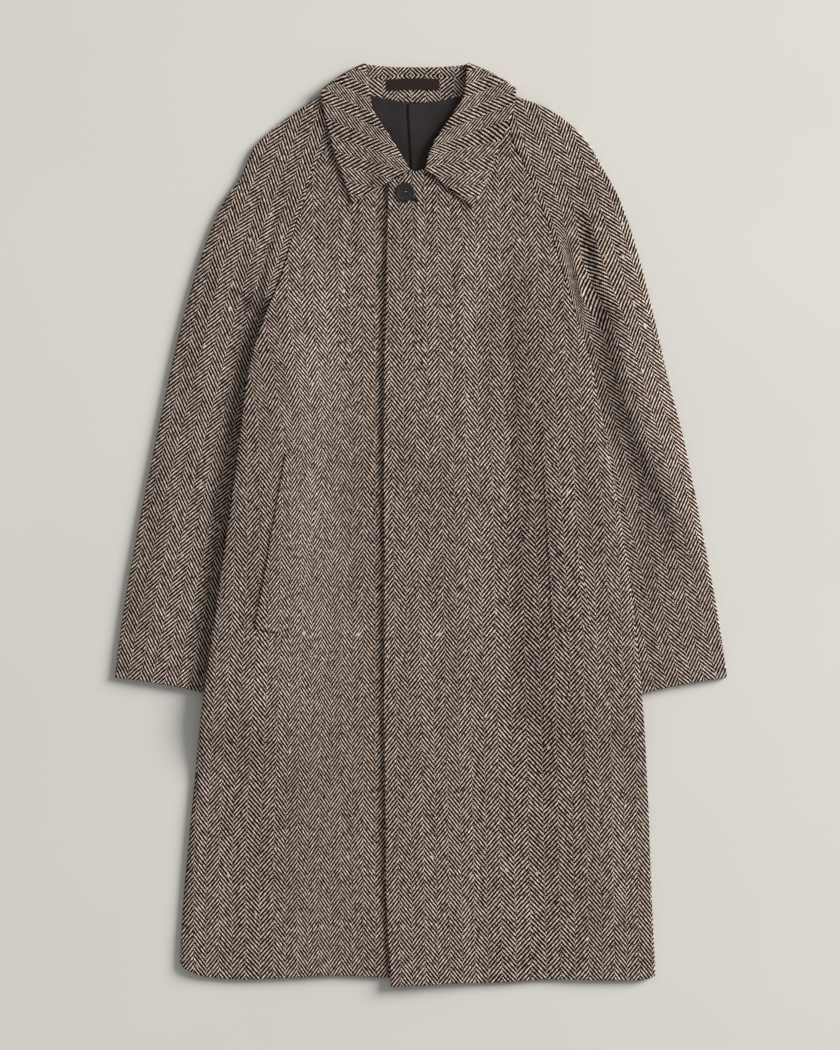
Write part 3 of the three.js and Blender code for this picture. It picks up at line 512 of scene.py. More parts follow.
class Finish(Nodes):
    """A material being written"""
    def __init__(self, name):
        self.material = bpy.data.materials.new(name)
        self.material.use_nodes = True
        self.material.node_tree.nodes.clear()
        super().__init__(self.material.node_tree)

    def mix(self, factor, first, second):
        return self.node("ShaderNodeMix", {"data_type": "RGBA"}, {0: factor, 6: first, 7: second}, 2)

    def noise(self, vector, scale, detail=2.0, roughness=0.5):
        inputs = {"Vector": vector, "Scale": scale, "Detail": detail, "Roughness": roughness}
        return self.node("ShaderNodeTexNoise", None, inputs)

    def bump(self, height, distance, strength=1.0):
        inputs = {"Height": height, "Distance": distance, "Strength": strength}
        return self.node("ShaderNodeBump", None, inputs)

    def surface(self, **sockets):
        inputs = {key.replace("_", " "): value for key, value in sockets.items()}
        shader = self.node("ShaderNodeBsdfPrincipled", None, inputs)
        self.tree.links.new(shader.socket, self.tree.nodes.new("ShaderNodeOutputMaterial").inputs["Surface"])
        return self.material


def paint(red, green, blue):
    """A colour read off a screen, 0 to 255, as the linear colour that a shader takes"""
    def linear(part):
        part /= 255
        return part / 12.92 if part <= 0.04045 else ((part + 0.055) / 1.055) ** 2.4
    return (linear(red), linear(green), linear(blue), 1.0)


def shade(colour, share):
    """A darker or paler tone of a screen colour"""
    return paint(*(share * part for part in colour))


print("middle grey on a screen, as light:", round(paint(128, 128, 128)[0], 3))

# %% [markdown]
# ## Herringbone
# Herringbone is a twill whose diagonal turns back every few centimetres, so the pale yarn makes columns of
# arrowheads. The weave map gives each point its distance across the columns, u, and along them, v. A zigzag
# of u added to v makes the chevrons, and a cosine of that makes pale and dark yarn. Where the diagonal
# turns back, the weaver skips half a step, so pale yarn meets dark yarn along every spine. Seen close,
# twill is a staircase: each upright yarn floats over a few others and the next one floats a little lower,
# so half of the zigzag moves in steps of one yarn. Noise gives every yarn its own tone, and a flat cell
# texture scatters the coloured flecks that give such cloth its life.

# %% The wool finish
# One zigzag across, one stripe along, both in metres, and the steepness of the diagonal
PERIOD, PITCH, SLOPE = 0.0298, 0.00575, 1.27
YARNS_A_PERIOD, STEPPED_SHARE = 24, 0.65
YARN = PERIOD / YARNS_A_PERIOD
TURN = 2 * math.pi
# From where on the scale of chance each colour of fleck runs
FLECKS = [
    (0.0, paint(188, 124, 66)), (0.2, paint(146, 82, 58)), (0.36, paint(200, 158, 84)),
    (0.54, paint(128, 108, 62)), (0.66, paint(234, 224, 214)), (0.84, paint(26, 18, 14)),
]
FLECK_SIZE, FLECK_SPREAD, FLECK_CHANCE = 0.045, 0.05, 0.28


def wool(name, pale, dark):
    f = Finish(name)
    place = f.node("ShaderNodeUVMap", {"uv_map": "weave"})
    u = f.node("ShaderNodeSeparateXYZ", None, {0: place}, "X")
    v = f.node("ShaderNodeSeparateXYZ", None, {0: place}, "Y")
    across = u + (f.noise(place, 42.0, 1.0) - 0.5) * 0.0014
    warp = across / YARN
    number = warp.math("FLOOR")
    zigzag = across.math("PINGPONG", PERIOD / 2)
    stepped = ((number + 0.5) * YARN).math("PINGPONG", PERIOD / 2)
    diagonal = (zigzag * (1 - STEPPED_SHARE) + stepped * STEPPED_SHARE) * SLOPE
    down = v + diagonal + (f.noise(place, 160.0, 1.0) - 0.5) * 0.0010
    column = (across / (PERIOD / 2)).math("FLOOR")
    row = down / PITCH + column.math("PINGPONG", 1.0) * 0.5
    along = f.combine(zigzag * 330.0, row, column * 3.7)
    slub = f.noise(along, 1.0, 2.0, 0.6)
    lot = f.noise(f.combine(number * 7.31, row * 0.9), 1.0, 1.0)
    wave = (row * TURN).math("COSINE") * 0.5 + 0.5
    stripe = (wave + (slub - 0.5) * 0.6 + (lot - 0.5) * 0.45).smooth(0.64, 0.9)
    upright = (warp * TURN).math("COSINE") * -0.5 + 0.5
    crossing = (v * (TURN / YARN)).math("COSINE") * -0.5 + 0.5
    round_yarn = upright * stripe + crossing * (1 - stripe)
    hair = f.noise(place, 1900.0, 2.0, 0.7)
    cell = f.combine(u * 60.0, down * 46.0)
    cells = {"Vector": cell, "Scale": 1.0, "Randomness": 1.0}
    flat = {"voronoi_dimensions": "2D"}
    nearest = f.node("ShaderNodeTexVoronoi", flat, cells, "Distance")
    draw = f.node("ShaderNodeTexVoronoi", flat, cells, "Color")
    chance, kind, size = (f.node("ShaderNodeSeparateColor", None, {0: draw}, part) for part in range(3))
    near = (size * FLECK_SPREAD + FLECK_SIZE - nearest).smooth(0.0, 0.03)
    fleck = near * (chance - FLECK_CHANCE).smooth(-0.1, 0.5)
    fleck_colour = f.node("ShaderNodeValToRGB", {"ramp": "CONSTANT", "stops": FLECKS}, {0: kind})
    tone = ((lot - 0.5) * 1.5 + (slub - 0.5) * 0.9 + (hair - 0.5) * 0.8 + 0.5).smooth(0.0, 1.0)
    pale_yarn = f.mix(tone, shade(pale, 0.7), shade(pale, 1.08))
    dark_yarn = f.mix(tone, shade(dark, 0.5), shade(dark, 1.5))
    cloth = f.mix(stripe, dark_yarn, pale_yarn)
    streaks = f.noise(f.combine(u * 70.0, v * 9.0), 1.0, 2.0)
    patchy = f.noise(place, 9.0, 2.0) * 0.26 + streaks * 0.3 + 0.7
    toned = f.node("ShaderNodeHueSaturation", None, {"Color": cloth, "Value": patchy})
    colour = f.mix(fleck * 0.9, toned, fleck_colour)
    height = stripe * 0.6 + round_yarn * 0.3 + slub * 0.3 + hair * 0.3 + fleck * 0.6
    return f.surface(
        Base_Color=colour, Roughness=0.82 + hair * 0.16, Normal=f.bump(height, 0.0006, 0.7),
        Sheen_Weight=0.02, Sheen_Roughness=0.45, Sheen_Tint=paint(206, 186, 170), Specular_IOR_Level=0.08,
    )


tweed = wool("herringbone_wool", (235, 218, 204), (32, 14, 6))
print("wool finish:", len(tweed.node_tree.nodes), "nodes")

# %% [markdown]
# ## The grain of each piece
# The chevrons of a front run nearly straight up, but a sleeve's follow the arm. For a sleeve the map
# measures from a line drawn down the arm: distance from the line is u and distance along it is v. Where
# cloth is taken up in a crumpled fold, the map runs faster than the ground under it, so the columns crowd
# together as they do on the coat.

# %% Grain maps
GRAIN_SAMPLES = 500


def grain_along(points):
    """Weave map that follows a line drawn down the arm"""
    read, _ = beside_line(points, GRAIN_SAMPLES)

    def at(plan):
        beside, travelled = read(plan[..., 0], plan[..., 1])
        return np.stack([-beside, -travelled], -1)
    return at


SLEEVE_GRAIN = {
    "right": grain_along([(-139, 1094), (-183, 971.4), (-216.2, 880.2), (-232.8, 823.8), (-253.9, 739.8),
                          (-274.8, 655.8), (-303, 535.8), (-337, 367.8)]),
    "left": grain_along([(166, 1070), (198, 980), (232.8, 883.8), (252.6, 820.8), (290.4, 695.4),
                         (310.8, 619.8), (334.8, 523.8), (367, 379.8)]),
}
SURPLUS, SURPLUS_STEP, SURPLUS_FADE, SURPLUS_SAMPLES = 15, (-6, 7), 36, 90
SURPLUS_LINE = [(164, 925), (170, 900), (178, 865), (184, 836), (191, 802), (196, 780)]
surplus_line, surplus_length = beside_line(SURPLUS_LINE, SURPLUS_SAMPLES)


def underarm_surplus(x, y):
    """Cloth taken up by the crumpled fold at the left underarm, which crowds the weave there"""
    beside, travelled = surplus_line(x, y)
    ends = np.sin(np.pi * np.clip(travelled / surplus_length, 0, 1))
    return SURPLUS * ends * ramp(*SURPLUS_STEP, beside) * np.exp(-(np.maximum(beside, 0) / SURPLUS_FADE) ** 2)


# Where the columns of each front are counted from, and how far they lean off the upright: a distance that is
# reached from one y to another and from one x to another
FRONT_START_X = {"right": -69.6, "left": 19.2}
FRONT_LEANS = {
    "right": [(26, 840, 640, -60, -190), (-20, 560, 120, -60, -250)],
    "left": [(18, 840, 420, 60, 220)],
}
LEFT_TILT, LEFT_TILT_FROM_Y = 0.0174, 944


def front_grain(side, plan):
    """The columns of a front run up it and lean where it widens, and the left front lies a little askew"""
    x, y = plan[..., 0], plan[..., 1]
    across = x - FRONT_START_X[side]
    if side == "left":
        across = across - LEFT_TILT * (LEFT_TILT_FROM_Y - y)
    for far, from_y, to_y, from_x, to_x in FRONT_LEANS[side]:
        across = across - far * ramp(from_y, to_y, y) * ramp(from_x, to_x, x)
    return np.stack([across, y], -1)


print("the underarm fold takes up", round(float(underarm_surplus(185.0, 850.0).max()), 1), "mm of cloth")


# %% [markdown]
# ## Body panels
# The back and the two fronts each run from the hem to the neck. A panel is a grid: rows climb the side
# seam, and columns cross from one edge line to the other.

# %% Panel grids
# Point numbers where the side seam ends, and where the slanted seam above it does
BODY_LAST, UPPER_LAST = 7, 7
EVEN_SAMPLES = 1500


def joined(lower, upper):
    """One edge line from the hem to the neck, read by row number"""
    def at(row):
        row = np.asarray(row, float)[..., None]
        return np.where(row <= BODY_LAST, lower(row[..., 0]), upper(row[..., 0] - BODY_LAST))
    return at


def even_rows(edge, last, spacing):
    """Row numbers at even distances along an edge, crowded at both ends, and those distances"""
    fine = np.linspace(0, last, EVEN_SAMPLES)
    length = np.append(0, np.cumsum(np.linalg.norm(np.diff(edge(fine), axis=0), axis=1)))
    distance = stations(length[-1], round(length[-1] / spacing))
    return np.interp(distance, length, fine), distance


def panel_plan(start, end, rows, columns):
    """Plan points half a seam inside two edge lines, the distance to the nearer one, the share of the way"""
    first, last = start(rows)[:, None, :], end(rows)[:, None, :]
    width = np.linalg.norm(last - first, axis=-1)[:, 0]
    across = stations(width - SEAM, columns)
    t = (across + SEAM / 2) / width[:, None]
    plan = first + (last - first) * t[..., None]
    return plan, np.minimum(across, (width - SEAM)[:, None] - across), t


HEM_FADE = 300


def hem_drop(plan, start, end, hem):
    """Draws the lowest rows onto the hem line"""
    x, y = plan[..., 0], plan[..., 1]
    (start_x, start_y), (end_x, end_y) = start(0.0), end(0.0)
    straight = lerp(start_y, end_y, (x - start_x) / (end_x - start_x))
    y += (hem(x) - straight) * (1 - np.clip(y / HEM_FADE, 0, 1))


def to_rim(to_side, distance):
    """Distance to the nearest of all four edges"""
    rows = np.minimum(distance, distance[-1] - distance)[:, None]
    return np.minimum(to_side, rows)


HEM_DEPTH, HEM_DEPTH_FADE, HEM_EXTRA = 42, 4, 0.5


def hem_extra(distance):
    """The turned-up hem makes the lowest band a little thicker"""
    return (HEM_EXTRA * (1 - ramp(HEM_DEPTH, HEM_DEPTH + HEM_DEPTH_FADE, distance)))[:, None]


SIDE_TOP_Y, SIDE_FADE = 812, 60


def side_drop(x, y, side_x):
    """A front comes down to the back along its side seam, up to the underarm"""
    gap = front_low(x, y) - back_low(x, y) - CLOTH - SEAM
    below_arm = 1 - ramp(SIDE_TOP_Y - SIDE_FADE, SIDE_TOP_Y, y)
    return gap * (1 - rounded(abs(x - side_x), SIDE_ROUND)) * below_arm


def build_front(side, columns, spacing):
    seam = joined(smooth_line(SIDE[side]), smooth_line(FRONT_SEAM[side]))
    hidden = smooth_line([(UNDER_EDGE_X, y) for _, y in LAP_EDGE])
    lower_edge = hidden if side == "right" else smooth_line(LAP_EDGE)
    edge = joined(lower_edge, straight_line(NECK_EDGE[side]))
    rows, distance = even_rows(seam, BODY_LAST + UPPER_LAST, spacing)
    plan, to_side, _ = panel_plan(seam, edge, rows, columns)
    hem_drop(plan, seam, edge, profile(HEM[side]))
    x, y = plan[..., 0], plan[..., 1]
    low = front_low(x, y) - side_drop(x, y, seam(rows)[:, :1])
    thickness = CLOTH + hem_extra(distance) + np.zeros_like(x)
    if side == "left":
        low = low + lap_lift(x)
        thickness = thickness + fly_extra(x)
    grain = front_grain(side, plan)
    return flat_sheet("front_" + side, plan, low, thickness, to_rim(to_side, distance), grain, tweed)


front_right = build_front("right", columns=74, spacing=4.4)
front_left = build_front("left", columns=76, spacing=4.4)

# %% [markdown]
# ## The back
# The back is one large panel. Nothing of it shows from above, but it is the side that a viewer sees when
# the coat is turned over, so it gets the same cloth, with its columns centred on the spine.

# %% Back panel
NECK_LEFT_X, NECK_RIGHT_X, NECK_SEAM_Y, NECK_DIP = -70, 64, 1070, 11


def neck_dip(x):
    """How far the neck seam hangs below its ends"""
    return NECK_DIP * np.sin(np.pi * np.clip((x - NECK_LEFT_X) / (NECK_RIGHT_X - NECK_LEFT_X), 0, 1))


def neck_seam_y(x):
    return NECK_SEAM_Y - neck_dip(x)


def build_back(columns, spacing):
    start = joined(smooth_line(SIDE["right"]), smooth_line(BACK_SEAM["right"]))
    end = joined(smooth_line(SIDE["left"]), smooth_line(BACK_SEAM["left"]))
    rows, distance = even_rows(start, BODY_LAST + UPPER_LAST, spacing)
    plan, to_side, _ = panel_plan(start, end, rows, columns)
    hem_drop(plan, start, end, profile(HEM["back"]))
    to_neck = ramp(BODY_LAST + UPPER_LAST / 2, BODY_LAST + UPPER_LAST, rows)[:, None]
    plan[..., 1] -= neck_dip(plan[..., 0]) * to_neck
    x, y = plan[..., 0], plan[..., 1]
    grain = np.stack([x - CENTRE_X, y], -1)
    return flat_sheet("back", plan, back_low(x, y), CLOTH + 0 * x, to_rim(to_side, distance), grain, tweed)


back = build_back(columns=110, spacing=5.4)

# %% [markdown]
# ## Raglan sleeves
# A raglan sleeve has no shoulder seam: its front and back panels run up to the collar and meet the body
# along a slanted seam. Each sleeve lies flattened, so it is two sheets that close towards each other at the
# folded edges.

# %% Sleeve panels
# Row numbers of the underarm and the cuff. Below the neck, two rows go to each point of an edge line
SLEEVE_UPPER, SLEEVE_LAST, ROWS_A_POINT = 15, 27, 2
SLEEVE_UNEVEN, SLEEVE_WAVES_FROM_X, SLEEVE_CREASES_FADE_Y, SHOWN = 0.8, -40, (1030, 1050), (10, 60)
ARMPIT_REACH, ARMPIT_SHARE = 55, 0.8
CROWN_REACH, CROWN_FROM, CROWN_FULL = 40, 50, 80
CUFF_BOW = 4


def sleeve_edges(side, seam):
    """Outer and inner edge of a sleeve panel from the neck to the cuff, by row number"""
    upper = smooth_line(OVERARM[side]), smooth_line(seam[side])
    arm = smooth_line(ARM_OUTER[side]), smooth_line(ARM_INNER[side])

    def one(which):
        def at(row):
            row = np.asarray(row, float)
            neck = np.array(NECK_END[side][which], float)
            top = upper[which](np.full_like(row, UPPER_LAST))
            body = upper[which]((SLEEVE_UPPER - row) / ROWS_A_POINT)
            lower = arm[which]((row - SLEEVE_UPPER) / ROWS_A_POINT)
            shaped = np.where((row <= SLEEVE_UPPER)[..., None], body, lower)
            return np.where((row < 1)[..., None], neck + (top - neck) * row[..., None], shaped)
        return at
    return one(0), one(1)


def build_sleeve(side, layer, columns, spacing):
    outer, inner = sleeve_edges(side, FRONT_SEAM if layer == "front" else BACK_SEAM)
    rows, distance = even_rows(outer, SLEEVE_LAST, spacing)
    plan, to_side, t = panel_plan(outer, inner, rows, columns)
    first, last = outer(rows)[:, None, :], inner(rows)[:, None, :]
    from_outer = np.linalg.norm(plan - first, axis=-1)
    from_inner = np.linalg.norm(plan - last, axis=-1)
    hidden = ramp(SLEEVE_UPPER - 1, SLEEVE_UPPER + 1, rows)[:, None]
    near_cuff = ramp(SLEEVE_LAST - ROWS_A_POINT, SLEEVE_LAST, rows)[:, None]
    plan[..., 1] += near_cuff * CUFF_BOW * np.sin(np.pi * t)
    x, y = plan[..., 0], plan[..., 1]
    inner_closing = (1 - rounded(from_inner, SLEEVE_ROUND)) * hidden
    closing = np.maximum(1 - rounded(from_outer, SLEEVE_ROUND), inner_closing)
    if layer == "back":
        low = neck_lift(x, y) + SLEEVE_EDGE_RISE * closing
    else:
        near_seam = (1 - ramp(0, ARMPIT_REACH, from_inner)) * (1 - hidden)
        rise = body_ride(last[..., 0], last[..., 1]) * ARMPIT_SHARE * near_seam
        crown = SLEEVE_CROWN * ramp(0, CROWN_REACH, from_outer) * ramp(CROWN_FROM, CROWN_FULL, from_inner)
        shown = ramp(*SHOWN, from_inner) * hidden + 1 - hidden
        fine = sleeve_creases(x, y) + sleeve_long(x, y)
        fine = fine + unevenness(x - SLEEVE_WAVES_FROM_X, y, SLEEVE_UNEVEN)
        fine = fine * shown * (1 - ramp(*SLEEVE_CREASES_FADE_Y, y))
        gap = np.maximum(front_gap(x, y) + crown + sleeve_folds(x, y) + fine, 2 * SEAM)
        low = neck_lift(x, y) + CLOTH + lerp(gap + rise, SLEEVE_EDGE_RISE + SEAM, closing)
    thickness = CLOTH + hem_extra(distance[-1] - distance) + 0 * x
    grain = SLEEVE_GRAIN[side](plan)
    if side == "left":
        grain[..., 0] -= underarm_surplus(x, y)
    return flat_sheet(f"sleeve_{side}_{layer}", plan, low, thickness, to_rim(to_side, distance), grain, tweed)


sleeves = {
    (side, layer): build_sleeve(side, layer, columns=34, spacing=4.6)
    for side in ("right", "left") for layer in ("back", "front")
}

# %% [markdown]
# ## The turned-down collar
# The collar is one strip from point to point. It lies on the fronts, folds over at the shoulders and passes
# underneath the neck. Its middle line is followed station by station, round a half circle at each shoulder,
# and the cloth is built out from it along the surface's own normal.

# %% Collar lines
LEAF = {
    "right": ([(-66, 1106.2), (-61.5, 1070), (-57, 1050), (-46, 1032), (-34, 1014), (-23, 996), (-13, 978.5)],
              [(-119.6, 1073), (-118.5, 1056), (-112.5, 1029), (-106, 1004), (-98, 981), (-90, 960),
               (-82.8, 939)]),
    "left": ([(55.2, 1106.2), (51, 1070), (42, 1052), (29, 1033), (17, 1015), (9, 998), (5, 979)],
             [(114.2, 1075), (112, 1057), (105.6, 1035), (96, 1013), (87, 988), (77, 962), (62.4, 933)]),
}
UNDER = {
    "right": ([(-66, 1106.2), (-52, 1104.6), (-30, 1103), (CENTRE_X, 1102.4)],
              [(-119.6, 1073), (-96, 1055), (-55, 1044), (CENTRE_X, FALL_BACK_EDGE_Y)]),
    "left": ([(55.2, 1106.2), (42, 1104.6), (20, 1103), (CENTRE_X, 1102.4)],
             [(114.2, 1075), (88, 1055), (45, 1044), (CENTRE_X, FALL_BACK_EDGE_Y)]),
}
SHOULDER_OUTWARD = {"right": np.array([-0.53, 0.85]), "left": np.array([0.47, 0.88])}
FOLD_RADIUS = (FALL_LIFT + 2 * CLOTH + FRONT_GAP - NECK_PRESS + LEAF_GAP) / 2
LEAF_ROWS, UNDER_ROWS = 6, 3
SHOULDER_BULGE, BULGE_ROWS, ROLL_RISE, ROLL_REACH, LEAF_SETTLE = 3, 1.6, 1.6, 22, 2


def collar_middle(side, turn, share, t):
    """Middle of the collar cloth. turn is +1 on top, -1 underneath and between them round the shoulder fold.
    share goes from 0 at the fold to 1 at the point, or at the centre back."""
    roll, edge = (smooth_line(points) for points in (LEAF if turn >= 0 else UNDER)[side])
    t = t[:, None]
    first, second = lerp(roll(0), edge(0), t), lerp(roll(1), edge(1), t)
    angle = turn * math.pi / 2
    nose = FOLD_RADIUS * (1 - math.cos(angle)) / np.linalg.norm(second - first, axis=1)
    at = nose + ((LEAF_ROWS if turn > 0 else UNDER_ROWS) - nose) * share
    plan = lerp(roll(at), edge(at), t)
    bulge = SHOULDER_BULGE * np.sin(math.pi * t[:, 0]) * (1 - ramp(0, BULGE_ROWS, at))
    plan = plan + SHOULDER_OUTWARD[side] * bulge[:, None]
    x, y = plan[:, 0], plan[:, 1]
    from_roll = np.linalg.norm(plan - roll(at), axis=1)
    height = COLLAR_CLOTH / 2 + FOLD_RADIUS + FOLD_RADIUS * math.sin(angle) + 0 * x
    if turn == 1:
        over = leaf_low(x, y) + COLLAR_CLOTH / 2 + ROLL_RISE * (1 - ramp(0, ROLL_REACH, from_roll))
        height = lerp(height, over, ramp(0, 1, (at - nose) * LEAF_SETTLE))
    if turn == -1:
        height = np.full_like(x, COLLAR_CLOTH / 2)
    return np.column_stack([x, y, height])


# %% Collar sheet
# Where a leaf's columns start, and at which y they droop by how many degrees, from the point up
LEAF_GRAIN = {
    "right": (-64.1, [(956, 11.6), (972, 12.8), (986, 14.6), (1002, 18), (1017, 21.7), (1034, 25.6)], -1),
    "left": (50.0, [(956, 9), (972, 8), (988, 10), (1004, 12), (1020, 20.5), (1036, 21.5)], 1),
}
LEAF_ROW_START = {"right": 1005, "left": 1004}
LEAF_WIDTH, LEAF_LENGTH, COLLAR_ROUND, SLANT_ROUNDS = 58, 140, 2.2, 5


def leaf_grain(side, x, y):
    """On a leaf the columns run across, from the roll to the outer edge, and droop towards the front"""
    from_x, droop, sign = LEAF_GRAIN[side]
    row = y.copy()
    for _ in range(SLANT_ROUNDS):
        slant = np.radians(np.interp(row, *zip(*droop)))
        row = y - sign * np.tan(slant) * (x - from_x)
    return row, sign * (x - from_x) / np.cos(slant)


def build_collar(leaf_steps, fold_steps, under_steps, columns):
    across = stations(LEAF_WIDTH, columns)
    t = across / LEAF_WIDTH
    halves = {}
    for side in ("right", "left"):
        leaf_shares = 1 - stations(LEAF_LENGTH, leaf_steps)[:-len(EDGE_STEPS)] / LEAF_LENGTH
        spots = [(1, share) for share in leaf_shares]
        spots += [(turn, 0) for turn in np.linspace(1, -1, fold_steps)]
        spots += [(-1, share) for share in np.linspace(0, 1, under_steps)[1:]]
        middle = np.array([collar_middle(side, turn, share, t) for turn, share in spots])
        row, v = leaf_grain(side, middle[..., 0], middle[..., 1])
        on_leaf = sum(turn == 1 for turn, _ in spots) - 1
        travel = np.linalg.norm(np.diff(middle, axis=0), axis=-1)
        for k in range(on_leaf, len(spots) - 1):
            row[k + 1] = row[k] + travel[k]
            v[k + 1] = v[k]
        halves[side] = middle, np.stack([row - LEAF_ROW_START[side], v], -1)
    middle = np.concatenate([halves["right"][0], halves["left"][0][::-1][1:]])
    weave = np.concatenate([halves["right"][1], halves["left"][1][::-1][1:]])
    along, over = np.gradient(middle, axis=0), np.gradient(middle, axis=1)
    normal = np.cross(along, over)
    normal /= np.linalg.norm(normal, axis=-1, keepdims=True)
    travel = np.linalg.norm(np.diff(middle[:, middle.shape[1] // 2], axis=0), axis=-1)
    distance = np.append(0, np.cumsum(travel))
    to_side = np.minimum(across, LEAF_WIDTH - across)[None, :] + 0 * distance[:, None]
    edge = rounded(to_rim(to_side, distance), COLLAR_ROUND)
    return sheet_mesh("collar_fall", middle, normal * (edge * COLLAR_CLOTH / 2)[..., None], weave, tweed)


collar_fall = build_collar(leaf_steps=52, fold_steps=16, under_steps=22, columns=26)

# %% [markdown]
# ## Inside the neck
# Behind the opening lie the collar's stand, the lining and the woven label. The stand is tweed with a seam
# just above the label, where the chevrons turn upside down. The lining is satin with a centre pleat.

# %% Satin, label weave, horn and thread
def satin(name, colour):
    f = Finish(name)
    place = f.node("ShaderNodeUVMap", {"uv_map": "weave"})
    stretched = f.node("ShaderNodeMapping", None, {"Vector": place, "Scale": (1.0, 6.0, 1.0)})
    threads = f.noise(stretched, 700.0, 2.0)
    crush = f.noise(place, 38.0, 3.0)
    tone = f.mix((threads * 0.5 + crush * 0.5).smooth(0.2, 0.8), shade(colour, 0.86), shade(colour, 1.12))
    return f.surface(
        Base_Color=tone, Roughness=0.42 + crush * 0.2, Normal=f.bump(crush + threads * 0.05, 0.0012, 0.5),
        Sheen_Weight=0.05, Specular_IOR_Level=0.25,
    )


def ribbon(name, colour):
    f = Finish(name)
    place = f.node("ShaderNodeUVMap", {"uv_map": "weave"})

    def yarns(direction, scale):
        settings = {"wave_type": "BANDS", "bands_direction": direction}
        wave = f.node("ShaderNodeTexWave", settings, {"Vector": place, "Scale": scale, "Distortion": 0.6})
        return f.node("ShaderNodeSeparateColor", None, {0: wave}, 0)
    weft, warp = yarns("Y", 900.0), yarns("X", 700.0)
    worn = f.noise(place, 160.0, 3.0)
    tone = f.mix((weft * 0.5 + worn * 0.6).smooth(0.1, 0.9), shade(colour, 0.8), shade(colour, 1.2))
    return f.surface(
        Base_Color=tone, Roughness=0.7 + worn * 0.2, Normal=f.bump(weft * 0.6 + warp * 0.4, 0.0002, 0.7),
        Sheen_Weight=0.04, Specular_IOR_Level=0.15,
    )


def horn(name, colour):
    f = Finish(name)
    place = f.node("ShaderNodeTexCoord", None, None, "Object")
    drawn_out = f.node("ShaderNodeMapping", None, {"Vector": place, "Scale": (120.0, 420.0, 200.0)})
    grain = f.noise(drawn_out, 1.0, 4.0)
    cloud = f.noise(place, 240.0, 3.0)
    tone = f.mix((grain * 0.6 + cloud * 0.5).smooth(0.25, 0.85), shade(colour, 0.75), shade(colour, 1.45))
    return f.surface(
        Base_Color=tone, Roughness=0.42 + cloud * 0.24, Normal=f.bump(grain, 0.0001, 0.5),
        Specular_IOR_Level=0.4,
    )


def thread(name, colour):
    f = Finish(name)
    place = f.node("ShaderNodeTexCoord", None, None, "Object")
    twist = f.noise(place, 2600.0, 2.0)
    tone = f.mix(twist, shade(colour, 0.7), shade(colour, 1.15))
    return f.surface(Base_Color=tone, Roughness=0.6 + twist * 0.3, Normal=f.bump(twist, 0.0002, 0.8))


lining_satin = satin("lining_satin", (43, 38, 37))
label_weave = ribbon("label_weave", (42, 32, 27))
dark_horn = horn("dark_horn", (24, 27, 25))
label_thread = thread("label_thread", (56, 45, 39))
buttonhole_thread = thread("buttonhole_thread", (12, 8, 7))
button_thread = thread("button_thread", (164, 134, 96))
print("finishes:", len(bpy.data.materials))

# %% Stand, lining and label
STAND_LEFT, STAND_RIGHT, STAND_TOP_Y, STAND_TOP_DROP, STAND_END_RISE = -73, 62, 1102.4, 5, 1.6
STAND_SEAM_Y, STAND_GROOVE, STAND_GROOVE_HALF = 1092.6, 1.1, 0.9
# The stand's cloth is drawn in across and stretched along, as a steamed collar is
STAND_ACROSS, STAND_ALONG, STAND_COLUMN_X = 0.87, 1.2, 5.6
ARCH_DROP, ARCH_REACH = 1.7, 34


def bow(x):
    """The stand's ends turn up towards the collar's leaves"""
    return ((x - CENTRE_X) / STAND_RIGHT) ** 4


def arch(x):
    """The seam and the label follow the neck's curve and drop a little to both sides"""
    return ARCH_DROP * ((x - CENTRE_X) / ARCH_REACH) ** 2


def stand_low(x, y):
    return neck_lift(x, y) + STAND_END_RISE * bow(x)


def strip_plan(left, right, low_y, high_y, columns, rows):
    """A grid between two heights that may depend on x, with the distance to its rim"""
    across = stations(right - left, columns)
    x = left + across
    up = stations(high_y(x) - low_y(x), rows)
    y = (low_y(x)[:, None] + up).T
    x = x[None, :] + 0 * y
    to_side = np.minimum(across, right - left - across)[None, :]
    to_end = np.minimum(up, up[:, -1:] - up).T
    return np.dstack([x, y]), np.minimum(to_side, to_end)


def build_stand():
    plan, rim = strip_plan(STAND_LEFT, STAND_RIGHT, lambda x: neck_seam_y(x) + 2 * SEAM,
                           lambda x: STAND_TOP_Y - STAND_TOP_DROP * bow(x), columns=60, rows=34)
    x, y = plan[..., 0], plan[..., 1]
    above = y + arch(x) - STAND_SEAM_Y
    groove = STAND_GROOVE * np.exp(-(above / STAND_GROOVE_HALF) ** 2)
    mirrored = STAND_SEAM_Y - abs(above)
    grain = np.stack([(x - STAND_COLUMN_X) * STAND_ACROSS, mirrored * STAND_ALONG], -1)
    return flat_sheet("collar_stand", plan, stand_low(x, y), STAND_CLOTH - groove, rim, grain, tweed)


LINING_LEFT, LINING_RIGHT, LINING_LOW_Y, LINING_AIR, LINING_TOP_SHARE = -80, 70, 925, 0.9, 0.84
PLEAT_X, PLEAT_REACH, PLEAT_RISE, PLEAT_STEP, PLEAT_FADE = -13.5, 24, 1.9, (-0.15, 0.3), 26
PLEAT_LEAN, PLEAT_LEAN_Y, PLEAT_LEAN_FADE = 2, (975, 1058), 40
PLEAT_GROOVE, PLEAT_GROOVE_X, PLEAT_GROOVE_HALF = 0.5, -1.2, 1.6
# One slack crease in the right half of the lining: height, half width, a point on it and its slope
SLACK, SLACK_HALF, SLACK_X, SLACK_Y, SLACK_SLOPE = 0.9, 5, 22, 1035, 0.9
SLACK_LOW_Y, SLACK_HIGH_Y = (985, 1010), (1060, 1035)
LINING_WAVE, LINING_WAVE_LOWEST = 0.35, -0.25


